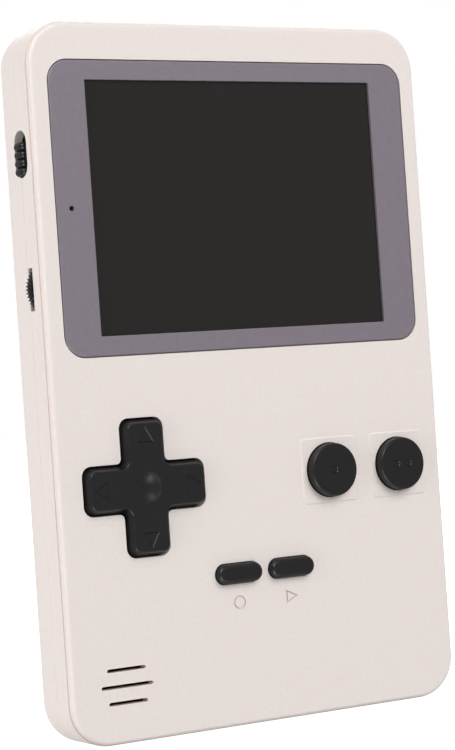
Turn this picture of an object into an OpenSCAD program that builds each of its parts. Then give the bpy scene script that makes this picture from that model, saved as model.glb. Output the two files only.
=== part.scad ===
// Handheld game console: shell, screen, keys, side controls, board, speaker and battery.
// It stands upright on its flat bottom edge: the face looks along -Y and the height runs along +Z.
// Pieces are drawn in a face frame (x to the right, y up from the bottom edge, z out of the face,
// with z = 0 on the front plate) and stood up by stand().

/* [Body] */
// Width of the body
body_w = 81.7; // [76:0.1:95]
// Height of the body
body_h = 126.6; // [118:0.1:145]
// Thickness of the body
body_t = 14; // [13.8:0.1:18]
// Radius of the corners, seen from the front
corner_r = 7.6; // [6.5:0.1:9]
// Radius of the rear edge
rear_edge_r = 4.2; // [3:0.1:5]
// Thickness of the side walls
wall = 1.6; // [1.4:0.05:1.8]
// Thickness of the front plate
front_t = 1.8; // [1.6:0.05:2]
// Thickness of the back wall
back_t = 1.6; // [1.5:0.05:2]
// Depth of the parting line below the face
parting = 5.5; // [5.2:0.1:6]
// How far the raised face stands in from the sides
step_in = 0.2; // [0.2:0.05:0.8]
// How far the raised face stands out from the ledge round it
step_h = 1.3; // [1.1:0.05:1.6]
// Rounding of the raised face's edge
face_edge_r = 0.7; // [0.5:0.05:1]
// Chamfer of each shell at the parting line
groove = 0.15; // [0.1:0.05:0.3]
// Height of the locating lip inside the parting line
lip_h = 1; // [0.6:0.1:1.2]
// Thickness of the locating lip
lip_t = 0.65; // [0.5:0.05:0.75]

/* [Screen] */
// Face left at each side of the bezel
bezel_side = 3.55; // [3:0.05:5]
// Corner radius of the bezel panel
bezel_r = 3.9; // [3:0.1:5]
// Thickness of the bezel panel
bezel_t = 1.05; // [0.9:0.05:1.2]
// Depth of the bezel's seat in the face
bezel_seat = 0.95; // [0.8:0.05:1.1]
// Chamfer of the bezel's outer edge
bezel_edge = 0.25; // [0.1:0.05:0.4]
// Gap between the bezel and its seat
bezel_gap = 0.15; // [0.1:0.01:0.2]
// Face left above the bezel
bezel_drop = 6.8; // [6.4:0.1:8]
// Border of the bezel at each side of the window
window_side = 7.15; // [6.6:0.05:9]
// Border of the bezel above and below the window
window_border = 3.5; // [2.5:0.1:5]
// Height of the window
window_h = 45; // [40:0.1:50]
// Thickness of the window lens
lens_t = 0.8; // [0.5:0.05:0.85]
// How far the lens stands up into the window
lens_rise = 0.5; // [0.2:0.05:0.7]
// Border of the lens that is bonded behind the bezel
lens_lap = 0.5; // [0.4:0.05:0.8]
// Border of the display glass at the sides of the window
glass_side = 1.5; // [1.3:0.1:1.8]
// Border of the display glass above the window
glass_top = 1.5; // [1.3:0.1:2]
// Border of the display glass below the window
glass_bottom = 4; // [3:0.1:4.5]
// Thickness of the display gasket
gasket_t = 0.3; // [0.2:0.05:0.5]
// Thickness of the display glass
glass_t = 1.2; // [1:0.05:1.3]
// Thickness of the backlight
backlight_t = 1.1; // [0.9:0.05:1.2]
// How far the backlight stands in from the glass
backlight_in = 0.3; // [0.1:0.05:0.5]
// Diameter of the indicator hole
lamp_hole_d = 0.95; // [0.7:0.05:1.3]
// Distance of the indicator hole from the bezel's left edge
lamp_side = 3; // [2.6:0.1:3.2]
// Diameter of the indicator lamp
lamp_d = 2.6; // [2:0.1:3]
// Widening of the indicator's hole behind the bezel
lamp_relief = 0.8; // [0.4:0.1:1.2]
// Gap between the lamp and the front plate
lamp_gap = 0.2; // [0.1:0.05:0.4]
// How far the foam stands in from the ribbon and from the battery bay's outline
foam_in = 3; // [1:0.5:8]
// Width of the display ribbon
ribbon_w = 20; // [12:1:30]
// Thickness of the display ribbon
ribbon_t = 0.25; // [0.15:0.05:0.3]
// Length of the ribbon bonded to the backlight
ribbon_lap = 3; // [2:0.5:6]
// Length of the ribbon's straight end at its socket
ribbon_end = 1; // [0.5:0.1:1.5]
// Height of the ribbon's socket
socket_h = 1.2; // [1:0.1:1.6]
// Length of the ribbon's socket
socket_l = 4; // [3:0.1:5]
// Distance of the socket's middle from the board's top
socket_drop = 5; // [4:0.1:6]
// How much wider than the ribbon the socket is, at each side
socket_side = 2; // [1:0.1:3]

/* [Cross pad] */
// Distance of the pad's centre from the left side
pad_side = 17.25; // [17:0.05:19]
// Distance of the pad's centre below the bezel
pad_drop = 23.4; // [22:0.1:26]
// Half of the pad's span
pad_l = 11.95; // [11:0.05:12.5]
// Half of an arm's width
pad_w = 4.05; // [3.5:0.05:4.5]
// Rounding of the arms' outer corners
pad_corner = 1.5; // [1:0.1:2]
// Rounding of the corners between the arms
pad_fillet = 1.3; // [0.8:0.1:2]
// Height of the pad above the face
pad_h = 1.55; // [1.2:0.05:2.2]
// Draft of the pad's sides, from the face up to the top
pad_draft = 0.6; // [0.3:0.05:0.8]
// Gap between the pad and its opening
pad_gap = 0.37; // [0.35:0.01:0.6]
// Diameter of the dimple in the pad
dimple_d = 5.4; // [4:0.1:6.4]
// Depth of the dimple
dimple_h = 0.7; // [0.4:0.05:0.9]
// Radius of the ball that the pad rocks on
ball_r = 1.6; // [1.4:0.05:1.8]
// Radius of the retaining flange under the pad
pad_flange_r = 8.6; // [8:0.1:9]
// Thickness of that flange
pad_flange_t = 1; // [0.8:0.05:1.2]
// Room above the flange for the pad's rocking
pad_rock_gap = 0.85; // [0.8:0.05:1]
// Wall of the hub round the ball
hub_wall = 1; // [0.8:0.05:1.2]
// Distance of the pad's domes from the ends of the arms
dome_in = 4.1; // [3.8:0.1:5]
// Width of an arrow on the pad
arrow_w = 3.2; // [2.4:0.1:3.8]
// Length of an arrow on the pad
arrow_h = 2.8; // [2:0.1:3.4]
// Distance of an arrow's middle from the end of its arm
arrow_in = 3.1; // [2.8:0.1:4]
// Depth of the marks pressed into keys and face
mark_depth = 0.2; // [0.08:0.02:0.3]

/* [Round and pill buttons] */
// Distance of the right button's centre from the right side
button_side = 10.05; // [9.8:0.05:11]
// Distance between the two round buttons
button_pitch = 15.3; // [14.5:0.1:16]
// Distance of the round buttons' centres below the bezel
button_drop = 23.3; // [21:0.1:26]
// Diameter of a round button
button_d = 9.8; // [9:0.1:10]
// Height of a round button above the face
button_h = 2; // [1.4:0.05:2.2]
// Rounding of a round button's edge
button_edge = 0.35; // [0.2:0.05:0.5]
// Side of the raised square round each round button
square_w = 12.2; // [11.8:0.1:13]
// Corner radius of the raised squares
square_r = 1; // [0.5:0.1:2]
// Height of the raised squares
square_h = 0.16; // [0.08:0.02:0.2]
// Slope of the raised squares' edges
square_edge = 0.22; // [0.1:0.02:0.3]
// Length of a pill button
pill_l = 9.2; // [8:0.1:9.4]
// Width of a pill button
pill_w = 3.45; // [3.2:0.05:4]
// Height of a pill button above the face
pill_h = 1.45; // [1:0.05:1.6]
// Rounding of a pill button's edge
pill_edge = 0.6; // [0.4:0.05:0.9]
// Distance between the two pill buttons
pill_pitch = 11.2; // [11:0.1:12]
// Place of the pair's middle, to the right of the body's middle
pill_x = -0.15; // [-1:0.05:1]
// Distance of the pill buttons' centres below the bezel
pill_drop = 40.3; // [38:0.1:44]
// Gap between a button and its opening
key_gap = 0.2; // [0.2:0.02:0.35]
// Rim of the flange that keeps a button in
key_rim = 0.85; // [0.7:0.05:0.9]
// Thickness of that flange
key_flange_t = 0.8; // [0.6:0.05:1]
// Length of the plunger under that flange
key_plunger = 0.7; // [0.5:0.05:0.8]
// Radius of a dot on a round button
dot_r = 0.7; // [0.4:0.05:1]
// Distance between the two dots
dot_pitch = 2.6; // [1.8:0.1:3.4]
// Distance of the symbols below the pill buttons' centres
symbol_drop = 5.3; // [4.5:0.1:6]
// Size of the symbols below the pill buttons
symbol_w = 2.5; // [1.6:0.1:3]
// Width of the symbols' lines
symbol_line = 0.3; // [0.2:0.05:0.5]
// Radius of the pad's domes, at the foot and at the top
pad_dome = [3.2, 2.3];
// Radius of the round buttons' domes, at the foot and at the top
button_dome = [4.2, 3.1];
// Radius of the pill buttons' domes, at the foot and at the top
pill_dome = [2.4, 1.6];
// Wall of a dome
dome_wall = 0.6; // [0.4:0.05:0.8]
// Thickness of a dome's top
dome_top = 0.9; // [0.6:0.05:1.2]
// Border of the mats round their domes
mat_border = 1.8; // [1.2:0.1:2.2]
// Border of the pill buttons' mat, which is narrower
pill_mat_border = 0.7; // [0.4:0.05:1]
// Corner radius of the mats
mat_r = 1.5; // [0.8:0.1:2]
// Thickness of the contacts on the board
contact_t = 0.1; // [0.05:0.01:0.15]
// Thickness of the rubber mats
mat_t = 0.8; // [0.6:0.05:1]

/* [Side controls] */
// Distance of the switch slot's middle from the top
switch_drop = 22.7; // [22:0.1:24]
// How far the switch slot's middle lies in front of the parting line
switch_fore = 0.4; // [0:0.05:0.6]
// Length of the switch slot
switch_slot_l = 8.3; // [8:0.1:9]
// Width of the switch slot
switch_slot_w = 4.6; // [4:0.1:5]
// Length of the switch cap
switch_cap_l = 6; // [5.6:0.1:6.2]
// How far the switch cap stands out of the side
switch_out = 0.65; // [0.2:0.05:1.4]
// Gap between the switch cap and its slot
switch_gap = 0.25; // [0.15:0.05:0.35]
// Ribs on the switch cap
rib_count = 4; // [3:1:5]
// Radius of those ribs
rib_r = 0.8; // [0.6:0.05:0.9]
// Thickness of the flange behind the slot
switch_flange_t = 0.7; // [0.5:0.05:0.8]
// How far the flange reaches past the slot
switch_lap = 0.6; // [0.4:0.05:0.8]
// Gap between the flange and the wall
switch_flange_gap = 0.15; // [0.1:0.01:0.2]
// Gap between the flange and the switch
switch_body_gap = 0.4; // [0.3:0.05:0.5]
// Depth of the switch, away from the side
switch_body_w = 3.4; // [3:0.1:4]
// Length of the switch
switch_body_l = 9; // [8:0.1:10]
// How far the switch reaches forward of its slot's middle
switch_body_front = 2; // [1.2:0.1:2.4]
// Length, height and thickness of the cap's lever in the switch
switch_lever = [1.4, 1.6, 1];
// Room round the lever in the switch
lever_gap = 0.2; // [0.15:0.05:0.4]
// Distance of the volume wheel's middle from the top
wheel_drop = 46.4; // [45.5:0.1:48]
// Length of the wheel's slot
wheel_slot_l = 7.5; // [7.2:0.1:8.5]
// Width of the wheel's slot, forward from the parting line
wheel_slot_w = 1.75; // [1.7:0.05:2.5]
// Thickness of the wheel
wheel_t = 1.2; // [1:0.05:1.75]
// How far the wheel stands out of the side
wheel_out = 0.85; // [0.6:0.05:0.95]
// Teeth round the wheel
wheel_teeth = 46; // [36:1:60]
// Depth of the teeth
tooth_h = 0.45; // [0.2:0.05:0.5]
// Gap round the wheel
wheel_gap = 0.3; // [0.2:0.02:0.35]
// Radius of the wheel's shaft
wheel_shaft_r = 1.2; // [0.8:0.05:1.5]
// Gap between the shaft's end and the board
shaft_end_gap = 0.2; // [0.1:0.05:0.4]
// Width of the volume control under the wheel
volume_body_w = 6; // [5:0.1:7]
// Length of the volume control
volume_body_l = 7.2; // [6:0.1:8]
// Distance of the shaft from the volume control's outer edge
volume_shaft_in = 2.2; // [1.8:0.05:2.3]

/* [Speaker] */
// Distance of the speaker's middle from the left side
speaker_side = 11.15; // [11:0.05:12]
// Height of the speaker's middle
speaker_y = 10.2; // [10:0.1:11]
// Diameter of the speaker
speaker_d = 16; // [14:0.1:16.4]
// Depth of the speaker's basket
basket_h = 2.7; // [2.4:0.1:3]
// Diameter of the speaker's magnet
magnet_d = 9; // [7:0.1:10]
// Thickness of the magnet
magnet_h = 1.7; // [1:0.1:2]
// Length of the middle sound slot
sound_long = 10.3; // [9:0.1:11]
// Length of the outer sound slots
sound_short = 7.7; // [6:0.1:8.5]
// Width of a sound slot
sound_w = 0.65; // [0.5:0.05:1]
// Distance between the sound slots
sound_pitch = 2.9; // [2.2:0.1:3.2]
// Thickness of the speaker's gasket
speaker_gasket_t = 0.4; // [0.3:0.05:0.6]
// Width of the speaker's gasket
speaker_gasket_w = 1.6; // [1:0.1:1.8]
// Wall of the basket
basket_wall = 0.6; // [0.4:0.05:0.7]
// Depth of the cone's rim in the basket
cone_seat = 0.5; // [0.4:0.05:0.6]
// Thickness of the cone
cone_t = 0.3; // [0.2:0.05:0.35]
// Depth of the cone
cone_h = 1.1; // [0.8:0.05:1.2]
// Radius of the cone's middle
cone_mid_r = 2.7; // [2:0.1:3]
// Wall of the rim that holds the speaker
speaker_rib = 0.85; // [0.6:0.05:1]
// How far that rim reaches round the basket
speaker_rib_h = 1.2; // [0.8:0.1:1.6]
// Gap between the speaker and the board
speaker_gap = 1.4; // [1.2:0.1:1.8]
// Radius of the leads
lead_r = 0.45; // [0.3:0.05:0.5]
// Radius of the leads' bends
lead_bend = 0.8; // [0.7:0.05:1]
// Distance between the speaker's leads
lead_pitch = 3.2; // [2:0.1:4]
// Distance of the leads from the magnet
lead_magnet_gap = 1.4; // [1:0.1:1.8]
// Distance of the leads' ends from the speaker
lead_run = 4; // [3:0.1:5]

/* [Board] */
// Depth of the board's front below the face
board_depth = 6.9; // [6.8:0.1:7.2]
// Thickness of the board
board_t = 1; // [0.8:0.05:1.2]
// Gap between the board and the walls
board_gap = 1.25; // [1.2:0.05:1.6]
// Gap between the board and the display above it
board_top_gap = 1.9; // [1.5:0.1:2.5]
// How far the board's arm reaches past the switch
arm_over = 4.4; // [4.2:0.1:5]
// Gap between the board and the case screws' bosses
boss_gap = 0.6; // [0.4:0.05:0.8]
// Distance of the battery leads' ends from the board's top
lead_drop = 3; // [2.4:0.1:4]
// Length of the crystal's can
crystal_l = 10.4; // [8:0.1:12]
// Width of the crystal's can
crystal_w = 4.2; // [3:0.1:5]
// Height of the crystal's can
crystal_h = 3.2; // [2.4:0.1:3.6]
// Diameter of a capacitor
cap_d = 4; // [3:0.1:5]
// Height of a capacitor
cap_h = 3.6; // [2.4:0.1:3.9]
// Distance between the capacitors
cap_pitch = 6; // [5.4:0.1:7]
// Length, width and height of a resistor
resistor = [1.6, 0.8, 0.5];
// Distance between the resistors
resistor_pitch = 3.2; // [2.4:0.1:4]
// Resistors in the row
resistor_count = 6; // [3:1:8]
// Length, width and height of the regulator
regulator_size = [6.5, 3.5, 1.6];
// Radius of the chip's resin blob
blob_r = 6; // [5:0.1:7]
// Height of the chip's resin blob
blob_h = 1.5; // [1:0.1:2]

/* [Battery] */
// Width of the battery pack
pack_w = 53; // [50:0.1:54]
// Height of the battery pack
pack_h = 34; // [32:0.1:35]
// Thickness of the battery pack
pack_t = 5.2; // [4.6:0.05:5.3]
// Height of the contact block below the pack
block_h = 3; // [2.5:0.1:3.4]
// Wall of the battery bay
bay_wall = 1; // [0.8:0.05:1.2]
// Floor of the battery bay
bay_floor = 0.8; // [0.6:0.05:1]
// Gap between the bay's top and the body's top
bay_drop = 16.3; // [15.8:0.1:18]
// Room between the pack and the bay
bay_gap = 0.3; // [0.2:0.05:0.4]
// Gap between the door and its opening
door_gap = 0.2; // [0.15:0.01:0.25]
// Radius of the hinge pins
hinge_pin_r = 0.5; // [0.4:0.02:0.55]
// Length of the hinge pins
hinge_pin_l = 1.2; // [0.8:0.1:2]
// Radius of the door's snap bumps
snap_r = 0.5; // [0.4:0.05:0.6]
// How far a snap bump stands out of the door's edge
snap_out = 0.25; // [0.2:0.01:0.3]
// Distance of the snap bumps from the door's top
snap_drop = 4; // [2:0.1:10]
// Radius of the finger notch above the door
notch_r = 5; // [4:0.1:6]
// Depth of the finger notch
notch_h = 0.8; // [0.5:0.05:1]
// Corner radius of the pack
pack_r = 2; // [1:0.1:3]
// Distance between the pack's terminals
terminal_pitch = 5; // [4:0.1:7]
// Width, thickness and height of a terminal
terminal = [3, 0.3, 2.4];
// Thickness of a contact leaf
leaf_t = 0.3; // [0.2:0.05:0.4]
// Width of a contact leaf
leaf_w = 2; // [1.2:0.1:2.6]
// Gap between the contact block and the pack
block_gap = 0.9; // [0.7:0.05:1.2]
// How much thinner than the pack the contact block is
block_in = 0.6; // [0.4:0.1:1]
// Border of the contact block beside its contacts
block_side = 0.5; // [0.2:0.1:1.5]

/* [Fasteners] */
// Radius of a case screw's shank
case_screw_r = 0.95; // [0.8:0.05:1.1]
// Radius of a case screw's head
case_head_r = 1.8; // [1.6:0.05:2]
// Radius of a board screw's shank
board_screw_r = 0.8; // [0.7:0.05:0.9]
// Radius of a board screw's head
board_head_r = 1.6; // [1.4:0.05:1.8]
// Height of a case screw's head
case_head_h = 1.3; // [1:0.1:1.6]
// Depth of a case screw's seat below the back
case_seat_h = 2.2; // [1.8:0.1:2.4]
// Height of a board screw's head
board_head_h = 1; // [0.8:0.1:1.4]
// Wall of the bosses that the case screws hold in
case_boss_wall = 1.4; // [1:0.1:1.6]
// Wall round the case screws' heads
head_wall = 0.9; // [0.7:0.05:1]
// Wall of the bosses under the board
board_boss_wall = 1.1; // [0.8:0.1:1.4]
// Distance of a case screw's tip from the front plate
case_tip_gap = 2.6; // [1.5:0.1:3]
// Distance of a board screw's tip from the front plate
board_tip_gap = 2; // [1.5:0.1:3]
// Depth of the pilot holes past the screws' tips
pilot_over = 0.4; // [0.2:0.1:0.8]
// Length of a recess bar in a screw's head
recess_l = 2; // [1.4:0.1:2.4]
// Width of a recess bar
recess_w = 0.5; // [0.3:0.05:0.7]
// Depth of the recess
recess_h = 0.6; // [0.3:0.05:0.8]
// Distance of the corner case screws from the sides
case_side = 6.9; // [6.6:0.1:8]
// Distance of the upper case screws from the top
case_drop = 4.8; // [4.6:0.1:6]
// Height of the lower case screws above the bottom
case_lower_y = 7.8; // [7.6:0.1:9]
// Distance of the lower left case screw from the speaker
case_speaker_gap = 8; // [7.6:0.1:9]
// Distance of the upper board screws from the sides
board_upper_side = 6.9; // [6.4:0.1:8]
// Distance of the upper board screws from the board's top
board_upper_drop = 4; // [3:0.1:5]
// Distance of the lower left board screw from the speaker
board_lower_side = 7; // [6:0.1:8]
// Place of the lower right board screw, to the right of the middle
board_lower_x = 14; // [10:0.1:20]
// Height of the lower board screws
board_lower_y = 16; // [15:0.1:18]
// Distance of the arm's screw from the side
board_arm_side = 6.3; // [6:0.1:7]
// Distance of the arm's screw from the arm's top
board_arm_drop = 2.2; // [2.1:0.1:2.4]

/* [Hidden] */
$fn = 64;
// Fits
slip = 0.1;
screw_slip = 0.02;
rest_gap = 0.08;
eps = 0.5;

// Shell
half_w = body_w / 2;
back_z = -body_t;
back_in = back_z + back_t;
side_in = half_w - wall;
inner_r = rear_edge_r - wall;

// Screen and display
bezel_w = body_w - 2 * bezel_side;
bezel_h = window_h + 2 * window_border;
window_w = bezel_w - 2 * window_side;
bezel_bottom = body_h - bezel_drop - bezel_h;
screen_y = bezel_bottom + bezel_h / 2;
lens_w = window_w + 2 * lens_lap;
lens_h = window_h + 2 * lens_lap;
lens_open_w = lens_w + 2 * slip;
lens_open_h = lens_h + 2 * slip;
glass_w = window_w + 2 * glass_side;
glass_h = window_h + glass_top + glass_bottom;
glass_y = screen_y + (glass_top - glass_bottom) / 2;
glass_z = -front_t - gasket_t;
backlight_z = glass_z - glass_t;
display_back = backlight_z - backlight_t;
display_bottom = glass_y - glass_h / 2;
ribbon_seat_y = display_bottom + backlight_in;
lamp_x = -bezel_w / 2 + lamp_side;

// Keys
pad_x = -half_w + pad_side;
pad_y = bezel_bottom - pad_drop;
button_y = bezel_bottom - button_drop;
pill_y = bezel_bottom - pill_drop;
right_button_x = half_w - button_side;
left_button_x = right_button_x - button_pitch;
buttons_mid_x = right_button_x - button_pitch / 2;
key_flange_z = -front_t - rest_gap;
key_bottom = key_flange_z - key_flange_t - key_plunger;
pad_flange_z = -front_t - pad_rock_gap;
pad_bottom = pad_flange_z - pad_flange_t;
board_z = -board_depth;
board_back = board_z - board_t;
mat_z = board_z + mat_t;
ball_z = board_z + ball_r + screw_slip;
ball_slip = 0.05;
hub_gap = 0.5;
hub_r = ball_r + hub_wall;
dome_place = pad_l - dome_in;
pad_mat_w = 2 * (dome_place + pad_dome[0] + mat_border);
button_mat_h = 2 * (button_dome[0] + mat_border);
button_mat_w = button_pitch + button_mat_h;
pill_mat_h = 2 * (pill_dome[0] + pill_mat_border);
pill_mat_w = pill_pitch + pill_mat_h;
symbol_y = pill_y - symbol_drop;

// Side controls
switch_y = body_h - switch_drop;
switch_z = -parting + switch_fore;
switch_cap_w = switch_slot_w - 2 * switch_gap;
switch_travel = switch_slot_l - switch_cap_l - 2 * switch_gap;
switch_rest_y = switch_y - switch_travel / 2;
switch_flange_x = -side_in + switch_flange_gap;
switch_flange_l = switch_slot_l + switch_travel + 2 * switch_lap;
switch_flange_w = switch_slot_w + 2 * switch_lap;
switch_body_x = switch_flange_x + switch_flange_t + switch_body_gap;
wheel_y = body_h - wheel_drop;
wheel_r = (half_w + wheel_out - glass_w / 2 - wheel_gap) / 2;
wheel_x = -half_w - wheel_out + wheel_r;
wheel_z = -parting + (wheel_slot_w - wheel_t) / 2;
volume_body_h = wheel_z - wheel_gap - board_z;

// Speaker
speaker_x = -half_w + speaker_side;
speaker_r = speaker_d / 2;
basket_z = -front_t - speaker_gasket_t;
basket_back = basket_z - basket_h;

// Battery and door
bay_in_w = pack_w + 2 * bay_gap;
bay_in_h = pack_h + 2 * bay_gap + block_h;
bay_top = body_h - bay_drop;
bay_in_top = bay_top - bay_wall;
bay_in_bottom = bay_in_top - bay_in_h;
bay_bottom = bay_in_bottom - bay_wall;
bay_out_w = bay_in_w + 2 * bay_wall;
door_t = back_t;
pack_back = back_in + bay_gap / 2;
pack_z = pack_back + pack_t;
bay_floor_z = pack_z + slip;
bay_front = bay_floor_z + bay_floor;
pack_y = bay_in_top - bay_gap - pack_h / 2;
pack_end = pack_y - pack_h / 2;
terminal_z = pack_z - pack_t / 2 - terminal[2] / 2;
rim = bay_wall - slip;
open_w = bay_in_w + 2 * rim;
open_top = bay_in_top + rim;
open_bottom = bay_in_bottom - rim - door_gap;
hinge_y = open_bottom + door_gap + door_t / 2;
hinge_z = back_z + door_t / 2;
hinge_slip = 0.05;
door_w = open_w - 2 * door_gap;
door_top = open_top - door_gap;
snap_y = door_top - snap_drop;
terminal_x = [for (i = [-1:1]) i * terminal_pitch];
block_w = 3 * terminal_pitch + 2 * block_side;
block_t = pack_t - block_in;
block_top = bay_in_bottom + block_h + bay_gap - block_gap;

// Board
board_half = side_in - board_gap;
board_top = display_bottom - board_top_gap;
board_bottom = wall + board_gap;
arm_top = switch_y + switch_body_l / 2 + arm_over;
arm_right = -bay_out_w / 2 - board_gap;
socket_y = board_top - socket_drop;
lead_end_y = board_top - lead_drop;

// Fasteners
case_boss_r = case_screw_r + case_boss_wall;
rear_boss_r = case_head_r + head_wall;
boss_meet = board_back;
case_seat = back_z + case_seat_h;
case_tip = -front_t - case_tip_gap;
case_spots = [
    [-half_w + case_side, body_h - case_drop],
    [half_w - case_side, body_h - case_drop],
    [speaker_x + speaker_r + case_speaker_gap, case_lower_y],
    [half_w - case_side, case_lower_y],
    [(pad_x + left_button_x) / 2, pad_y]
];
board_boss_r = board_screw_r + board_boss_wall;
board_tip = -front_t - board_tip_gap;
board_spots = [
    [-half_w + board_upper_side, board_top - board_upper_drop],
    [half_w - board_upper_side, board_top - board_upper_drop],
    [speaker_x + speaker_r + board_lower_side, board_lower_y],
    [board_lower_x, board_lower_y],
    [-half_w + board_arm_side, arm_top - board_arm_drop]
];

// The face frame stood upright, with the origin under the middle of the bottom edge
module stand() {
    translate([0, -body_t / 2, 0]) rotate([90, 0, 0]) children();
}

// A plate from depth z0 to z1 with the outline of its children
module layer(z0, z1) {
    translate([0, 0, min(z0, z1)]) linear_extrude(abs(z1 - z0)) children();
}

// A quarter of a disc, in the first quadrant
module quarter(r) {
    intersection() {
        circle(r);
        square(r);
    }
}

// A rectangle with round corners, centred
module rounded(w, h, r) {
    square([w - 2 * r, h], center = true);
    square([w, h - 2 * r], center = true);
    for (k = [0:3]) {
        sx = k == 0 || k == 3 ? 1 : -1;
        sy = k < 2 ? 1 : -1;
        translate([sx * (w / 2 - r), sy * (h / 2 - r)]) rotate(90 * k) quarter(r);
    }
}

// A slot outline with round ends, along x
module pill_outline(l, w) {
    square([l - w, w], center = true);
    for (s = [-1, 1]) translate([s * (l - w) / 2, 0]) rotate(s * 90 - 90) {
        quarter(w / 2);
        mirror([0, 1]) quarter(w / 2);
    }
}

// A triangle that points up, centred on its height
module triangle(w, h) {
    polygon([[-w / 2, -h / 2], [w / 2, -h / 2], [0, h / 2]]);
}

// Outline of such a triangle, drawn with a line of that width
module triangle_line(w, h, line) {
    tip = line * norm([w / 2, h]) / (w / 2);
    inner = h - line - tip;
    difference() {
        triangle(w, h);
        translate([0, (line - tip) / 2]) triangle(w * inner / h, inner);
    }
}

// Profile of an edge swept round a rounded rectangle; x runs outward from the corners' centres
module edge_loop(w, h, r) {
    for (k = [0:3]) {
        across = k % 2 == 0 ? w : h;
        along = k % 2 == 0 ? h : w;
        rotate(90 * k) translate([across / 2 - r, along / 2 - r, 0]) {
            rotate_extrude(angle = 90) children();
            rotate([90, 0, 0]) linear_extrude(along - 2 * r) children();
        }
    }
}

// The part of the body's outline that lies inside its corners
module body_middle() {
    square([body_w - 2 * corner_r, body_h - 2 * corner_r], center = true);
}

// Places of the body's middle, the screen, the keys, the speaker and the screws
module at_body() {
    translate([0, body_h / 2, 0]) children();
}

module at_screen() {
    translate([0, screen_y, 0]) children();
}

module at_pad() {
    translate([pad_x, pad_y, 0]) children();
}

module at_buttons() {
    for (x = [left_button_x, right_button_x]) translate([x, button_y, 0]) children();
}

module at_pills() {
    for (s = [-1, 1]) translate([pill_x + s * pill_pitch / 2, pill_y, 0]) children();
}

module at_speaker() {
    translate([speaker_x, speaker_y, 0]) children();
}

module at_spots(spots) {
    for (p = spots) translate([p[0], p[1], 0]) children();
}

// Opening of the power switch through the left side
module switch_slot() {
    translate([-half_w - eps, switch_y, switch_z]) rotate([90, 0, 90])
        linear_extrude(wall + 2 * eps) pill_outline(switch_slot_l, switch_slot_w);
}

// Room for the volume wheel through the left side, in front of the parting line
module wheel_room() {
    translate([-half_w - eps, wheel_y - wheel_slot_l / 2, -parting])
        cube([wall + 2 * eps, wheel_slot_l, wheel_slot_w]);
    translate([wheel_x, wheel_y, -parting]) cylinder(r = wheel_r + wheel_gap, h = wheel_slot_w);
}

// Section of the front shell's edge
module front_edge() {
    flat = corner_r - step_in - face_edge_r;
    shelf = corner_r - step_in;
    rabbet = corner_r - wall + lip_t + slip;
    polygon([
        [0, 0], [flat, 0], [flat, -face_edge_r], [shelf, -face_edge_r], [shelf, -step_h],
        [corner_r, -step_h], [corner_r, -parting + groove], [corner_r - groove, -parting],
        [rabbet, -parting], [rabbet, -parting + lip_h], [corner_r - wall, -parting + lip_h],
        [corner_r - wall, -front_t], [0, -front_t]
    ]);
    translate([flat, -face_edge_r]) quarter(face_edge_r);
}

// Raised square round a round button
module button_square() {
    root = -front_t / 2;
    edge_loop(square_w, square_w, square_r) polygon([
        [0, root], [square_r, root], [square_r, 0], [square_r - square_edge, square_h], [0, square_h]
    ]);
    layer(root, square_h) square(square_w - 2 * square_r, center = true);
}

// Outline of the cross, without draft
module cross_outline(l, w, corner, fillet) {
    rounded(2 * l, 2 * w, corner);
    rounded(2 * w, 2 * l, corner);
    for (k = [0:3]) rotate(90 * k) translate([w, w]) difference() {
        square(fillet);
        translate([fillet, fillet]) circle(fillet);
    }
}

// Marks pressed into the face below the pill buttons: a ring and a triangle
module face_symbols() {
    translate([pill_x - pill_pitch / 2, symbol_y]) difference() {
        circle(symbol_w / 2);
        circle(symbol_w / 2 - symbol_line);
    }
    translate([pill_x + pill_pitch / 2, symbol_y]) rotate(-90)
        triangle_line(symbol_w, symbol_w, symbol_line);
}

module front_shell() color("#e7deda") stand() difference() {
    union() {
        at_body() edge_loop(body_w, body_h, corner_r) front_edge();
        at_body() layer(-front_t, 0) body_middle();
        at_buttons() button_square();
        at_spots(case_spots) layer(-front_t, boss_meet) circle(case_boss_r);
        at_spots(board_spots) layer(-front_t, board_z) circle(board_boss_r);
        at_speaker() layer(-front_t, basket_z - speaker_rib_h) difference() {
            circle(speaker_r + slip + speaker_rib);
            circle(speaker_r + slip);
        }
    }
    at_screen() layer(-bezel_seat, eps)
        rounded(bezel_w + 2 * bezel_gap, bezel_h + 2 * bezel_gap, bezel_r + bezel_gap);
    at_screen() layer(-front_t - eps, 0) square([lens_open_w, lens_open_h], center = true);
    translate([lamp_x, screen_y, -front_t - eps]) cylinder(d = lamp_hole_d + lamp_relief, h = front_t + eps);
    at_pad() layer(-front_t - eps, eps)
        cross_outline(pad_l + pad_gap, pad_w + pad_gap, pad_corner + pad_gap, pad_fillet - pad_gap);
    at_buttons() layer(-front_t - eps, eps) circle(button_d / 2 + key_gap);
    at_pills() layer(-front_t - eps, eps) pill_outline(pill_l + 2 * key_gap, pill_w + 2 * key_gap);
    at_speaker() layer(-front_t - eps, eps) for (i = [-1:1]) translate([0, i * sound_pitch])
        pill_outline(i == 0 ? sound_long : sound_short, sound_w);
    layer(-mark_depth, eps) face_symbols();
    at_spots(case_spots) layer(boss_meet - eps, case_tip + pilot_over) circle(case_screw_r + screw_slip);
    at_spots(board_spots) layer(board_z - eps, board_tip + pilot_over) circle(board_screw_r + screw_slip);
    switch_slot();
    wheel_room();
}

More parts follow.
